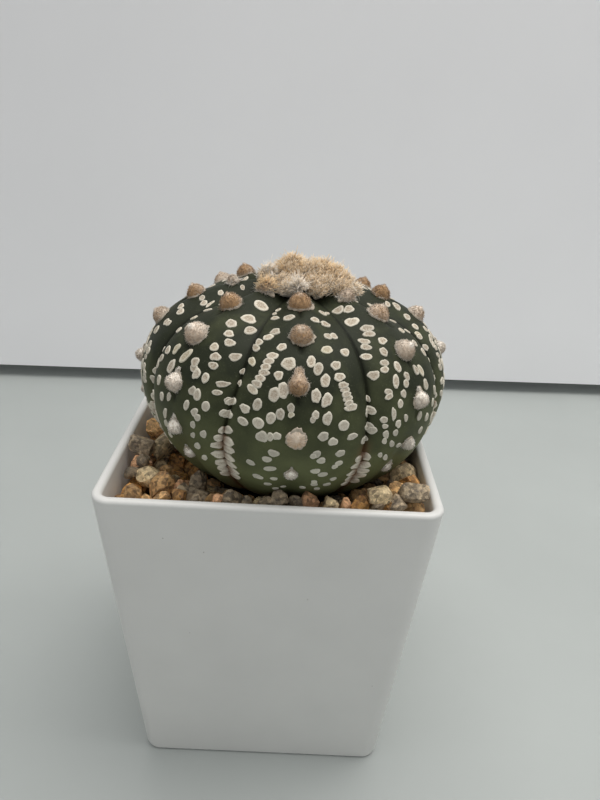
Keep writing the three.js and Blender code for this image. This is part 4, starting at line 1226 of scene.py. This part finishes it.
def hairs_at(roots, directions, length, width, bend, shape):
    """Hair shapes stood on roots along directions, swept sideways towards their tips."""
    side = np.cross(directions, (0.31, 0.52, 0.8))
    side /= np.linalg.norm(side, axis=-1, keepdims=True)
    other = np.cross(directions, side)
    along = shape[None, :, 2:3]
    placed = roots[:, None] + directions[:, None] * along * length[:, None, None]
    placed = placed + side[:, None] * shape[None, :, 0:1] * width[:, None, None]
    placed = placed + other[:, None] * shape[None, :, 1:2] * width[:, None, None]
    return placed + bend[:, None] * along ** 2 * length[:, None, None]


def round_directions(index, number, lowest):
    """Unit directions spread over a sphere, down to a lowest height."""
    high = lowest + (1 - lowest) * draw(index, number, 110)
    round_it = 2 * math.pi * draw(index, number, 111)
    flat = np.sqrt(np.clip(1 - high ** 2, 0, 1))
    return np.stack([flat * np.cos(round_it), flat * np.sin(round_it), high], axis=-1)


def fuzz_of(kind, number, order, grow, basis, point, hair, triangles, wool):
    """Short hairs over a spine point's dome, longer and paler where they fringe its foot."""
    index = np.arange(wool.fuzz_count if order < 5 else wool.fuzz_count // 2)
    directions = round_directions(index, number, -0.15)
    roots = dome(directions, kind) * grow * 0.97
    foot = np.clip(1 - directions[:, 2] / 0.22, 0, 1) * (0.4 + 0.6 * np.abs(directions[:, 0]))
    lean = np.stack([spread(index, number, tag) for tag in (112, 113, 114)], axis=-1)
    aim = directions * (1, 1, 0.9) + 0.45 * lean + foot[:, None] * (0, 0, 0.25)
    aim /= np.linalg.norm(aim, axis=-1, keepdims=True)
    length = (wool.fuzz + kind["fringe"] * MM * foot) * (0.6 + 0.8 * draw(index, number, 115))
    width = 0.05 * MM * (0.7 + 0.6 * draw(index, number, 116))
    placed = hairs_at(roots, aim, length, width, 0.3 * lean, hair)
    # Painted shade: darker at the hairs' roots and on the lower part of the dome, but not in the foot's
    # fringe
    height = 0.25 + 0.75 * np.clip(directions[:, 2:3] + foot[:, None], 0, 1)
    depth = (0.15 + 0.85 * hair[None, :, 2] * (0.6 + 0.4 * draw(index, number, 117)[:, None])) * height
    tone = wool_tone_with_painted_light(directions, kind, number) + 0.14 * spread(index, number, 118) + 0.6 * foot
    return triangles, in_pot(placed @ basis.T + point), {"tone": tone[:, None], "depth": depth}


def build_crown(plant, wool):
    """Matted lumps with short strands that clump into blunt points, as in an old brush."""
    unit, triangles = pattern(start("lump", bpy.ops.mesh.primitive_ico_sphere_add, subdivisions=4, radius=1))
    strand = start("strand", bpy.ops.mesh.primitive_cone_add, vertices=3, radius1=1, radius2=0.35, depth=1,
                   location=(0, 0, 0.5))
    with editing(strand):
        bpy.ops.mesh.select_all(action="SELECT")
        bpy.ops.mesh.bisect(plane_co=(0, 0, 0.55), plane_no=(0, 0, 1))
    shape, strand_triangles = pattern(strand)
    floor = (plant.dome - CROWN_DIP) / MM
    lumps, strands = [], []
    for number, (x, y, radius, top, tone) in enumerate(CROWN_LUMPS):
        tall = max(radius, (top - floor) / 2 + 0.6)
        middle = np.array([x, y, top - tall * 0.95]) * MM
        scale = np.array([radius, radius, tall]) * 0.84 * MM
        body = unit * scale
        waves = 0.3 * MM * ripple(body, 1.5 * MM, number) + 0.16 * MM * ripple(body, 0.6 * MM, number + 3)
        lump = in_pot(body + unit * waves[:, None] + middle)
        # A low depth gives the lump bodies painted shade, dark in the gaps between the strands
        lumps.append((triangles, lump[None], {"tone": tone, "depth": 0.1}))
        index = np.arange(wool.strand_count)
        directions = round_directions(index, number, -0.3)
        clump = np.arange(38)
        heads = round_directions(clump, number + 40, -0.2)
        nearest = np.argmax(directions @ heads.T, axis=1)
        lean = np.stack([spread(index, number, tag) for tag in (125, 126, 127)], axis=-1)
        aim = directions + 0.5 * lean + (0, 0, 0.3)
        aim /= np.linalg.norm(aim, axis=-1, keepdims=True)
        length = wool.strand * (0.35 + 0.75 * draw(index, number, 128) ** 1.6)
        length = length * (0.75 + 0.5 * draw(nearest, number, 124))
        length = length * (1 + 0.8 * (draw(index, number, 132) > 0.94))
        tips = heads[nearest] * (scale + wool.strand * 0.8) - directions * scale
        bend = 0.36 * (tips / length[:, None] - aim) + 0.3 * lean[:, ::-1]
        width = 0.078 * MM * (0.7 + 0.6 * draw(index, number, 129))
        placed = hairs_at(directions * scale * 0.97 + middle, aim, length, width, bend, shape)
        own_tone = tone + 0.4 * spread(index, number, 130)[:, None] - 0.2 * shape[None, :, 2]
        # Painted shade at the strands' roots; each clump's brightness also differs at random
        depth = 0.05 + 0.95 * shape[None, :, 2] * (0.4 + 0.6 * draw(nearest, number, 131)[:, None])
        strands.append((strand_triangles, in_pot(placed), {"tone": own_tone, "depth": depth}))
    declare(copies("crown_wool_lumps", lumps), "crown_wool",
            spine_point_wool("matted_crown_wool", wool, wool.gold[:], 0.7))
    declare(copies("crown_wool_strands", strands), "crown_wool",
            spine_point_wool("loose_crown_wool", wool, wool.gold[:], 0.76))


def build_stage(stage):
    """Floor, backdrop board, even light, one overhead softbox and the camera."""
    bpy.context.scene.view_settings.view_transform = "Standard"
    floor = start("floor", bpy.ops.mesh.primitive_plane_add, size=4, location=(0, 0, 0))
    floor.data.materials.append(painted_board("matt_painted_floor", stage.floor[:], 0.05, 1.0))
    board = start("backdrop", bpy.ops.mesh.primitive_cube_add, size=1, location=BOARD_PLACE,
                  rotation=(0, 0, math.radians(BOARD_TURN)), scale=BOARD_SIZE)
    # The backdrop's painted shade darkens it to 0.86 of its colour at 20 cm up
    board.data.materials.append(painted_board("matt_painted_backdrop", stage.backdrop[:], 0.02, 0.86))
    world = bpy.data.worlds.new("even_studio_light")
    world.use_nodes = True
    world.node_tree.nodes["Background"].inputs["Color"].default_value = linear("#f2f3f5")
    world.node_tree.nodes["Background"].inputs["Strength"].default_value = stage.ambient
    bpy.context.scene.world = world
    deselect()
    bpy.ops.object.light_add(type="AREA", location=KEY_PLACE)
    key = bpy.context.object
    key.name = "overhead_softbox"
    key.data.shape = "RECTANGLE"
    key.data.size, key.data.size_y = KEY_SIZE
    key.data.energy = stage.key_power
    key.data.color = linear("#fffcf9")[:3]
    deselect()
    turned = (
        Matrix.Rotation(math.radians(CAMERA_HEADING), 4, "Z")
        @ Matrix.Rotation(math.radians(90 + CAMERA_PITCH), 4, "X")
        @ Matrix.Rotation(math.radians(CAMERA_ROLL), 4, "Z")
    )
    bpy.ops.object.camera_add()
    camera = bpy.context.object
    camera.matrix_world = Matrix.Translation(CAMERA_PLACE) @ turned
    camera.data.sensor_fit = "VERTICAL"
    camera.data.sensor_height = 36
    camera.data.lens = CAMERA_LENS
    camera.data.clip_start = 1 * MM
    camera.data.clip_end = 20
    bpy.context.scene.camera = camera


class CACTUS_OT_pot(bpy.types.Operator):
    """Model the square white pot with its rounded lip and drain holes"""

    bl_idname = "star_cactus.pot"
    bl_label = "Pot"

    def execute(self, context):
        build_pot(settings().pot)
        return {"FINISHED"}


class CACTUS_OT_filling(bpy.types.Operator):
    """Model the potting mix and the gravel on it"""

    bl_idname = "star_cactus.filling"
    bl_label = "Potting mix and gravel"

    def execute(self, context):
        build_soil(settings().filling)
        build_gravel(settings().filling, settings().plant)
        return {"FINISHED"}


class CACTUS_OT_body(bpy.types.Operator):
    """Model the ribbed green body and its root"""

    bl_idname = "star_cactus.body"
    bl_label = "Ribbed body"

    def execute(self, context):
        build_skin(settings().plant)
        build_root(settings().plant)
        return {"FINISHED"}


class CACTUS_OT_flecks(bpy.types.Operator):
    """Model the scale flecks of the ribs and the paired scales of the grooves"""

    bl_idname = "star_cactus.flecks"
    bl_label = "Scale flecks"

    def execute(self, context):
        build_flecks(settings().flecks)
        build_seams(settings().flecks)
        return {"FINISHED"}


class CACTUS_OT_areoles(bpy.types.Operator):
    """Model the woolly spine points with their collars"""

    bl_idname = "star_cactus.areoles"
    bl_label = "Spine points"

    def execute(self, context):
        build_areoles(settings().wool, settings().flecks)
        return {"FINISHED"}


class CACTUS_OT_crown(bpy.types.Operator):
    """Model the wool of the growing point"""

    bl_idname = "star_cactus.crown"
    bl_label = "Crown wool"

    def execute(self, context):
        build_crown(settings().plant, settings().wool)
        return {"FINISHED"}


class CACTUS_OT_stage(bpy.types.Operator):
    """Set up the floor, backdrop, light and camera"""

    bl_idname = "star_cactus.stage"
    bl_label = "Stage"

    def execute(self, context):
        build_stage(settings().stage)
        return {"FINISHED"}


class CACTUS_PT_sidebar(bpy.types.Panel):
    """The star cactus tools"""

    bl_label = "Potted Star Cactus"
    bl_idname = "CACTUS_PT_sidebar"
    bl_space_type = "VIEW_3D"
    bl_region_type = "UI"
    bl_category = "Star Cactus"

    def draw(self, context):
        for tool in TOOLS:
            self.layout.operator(tool.bl_idname)


GROUPS = (
    PotSettings, FillingSettings, PlantSettings, FleckSettings, WoolSettings, StageSettings, CactusSettings,
)
TOOLS = (
    CACTUS_OT_stage, CACTUS_OT_pot, CACTUS_OT_filling, CACTUS_OT_body, CACTUS_OT_flecks, CACTUS_OT_areoles,
    CACTUS_OT_crown,
)


def register():
    for group in (*GROUPS, *TOOLS, CACTUS_PT_sidebar):
        bpy.utils.register_class(group)
    bpy.types.Scene.star_cactus = PointerProperty(type=CactusSettings)


def unregister():
    del bpy.types.Scene.star_cactus
    for group in reversed((*GROUPS, *TOOLS, CACTUS_PT_sidebar)):
        bpy.utils.unregister_class(group)


def main():
    """Builds the stage and every piece."""
    register()
    for step in ("stage", "pot", "filling", "body", "flecks", "areoles", "crown"):
        getattr(bpy.ops.star_cactus, step)()


if __name__ == "__main__":
    main()
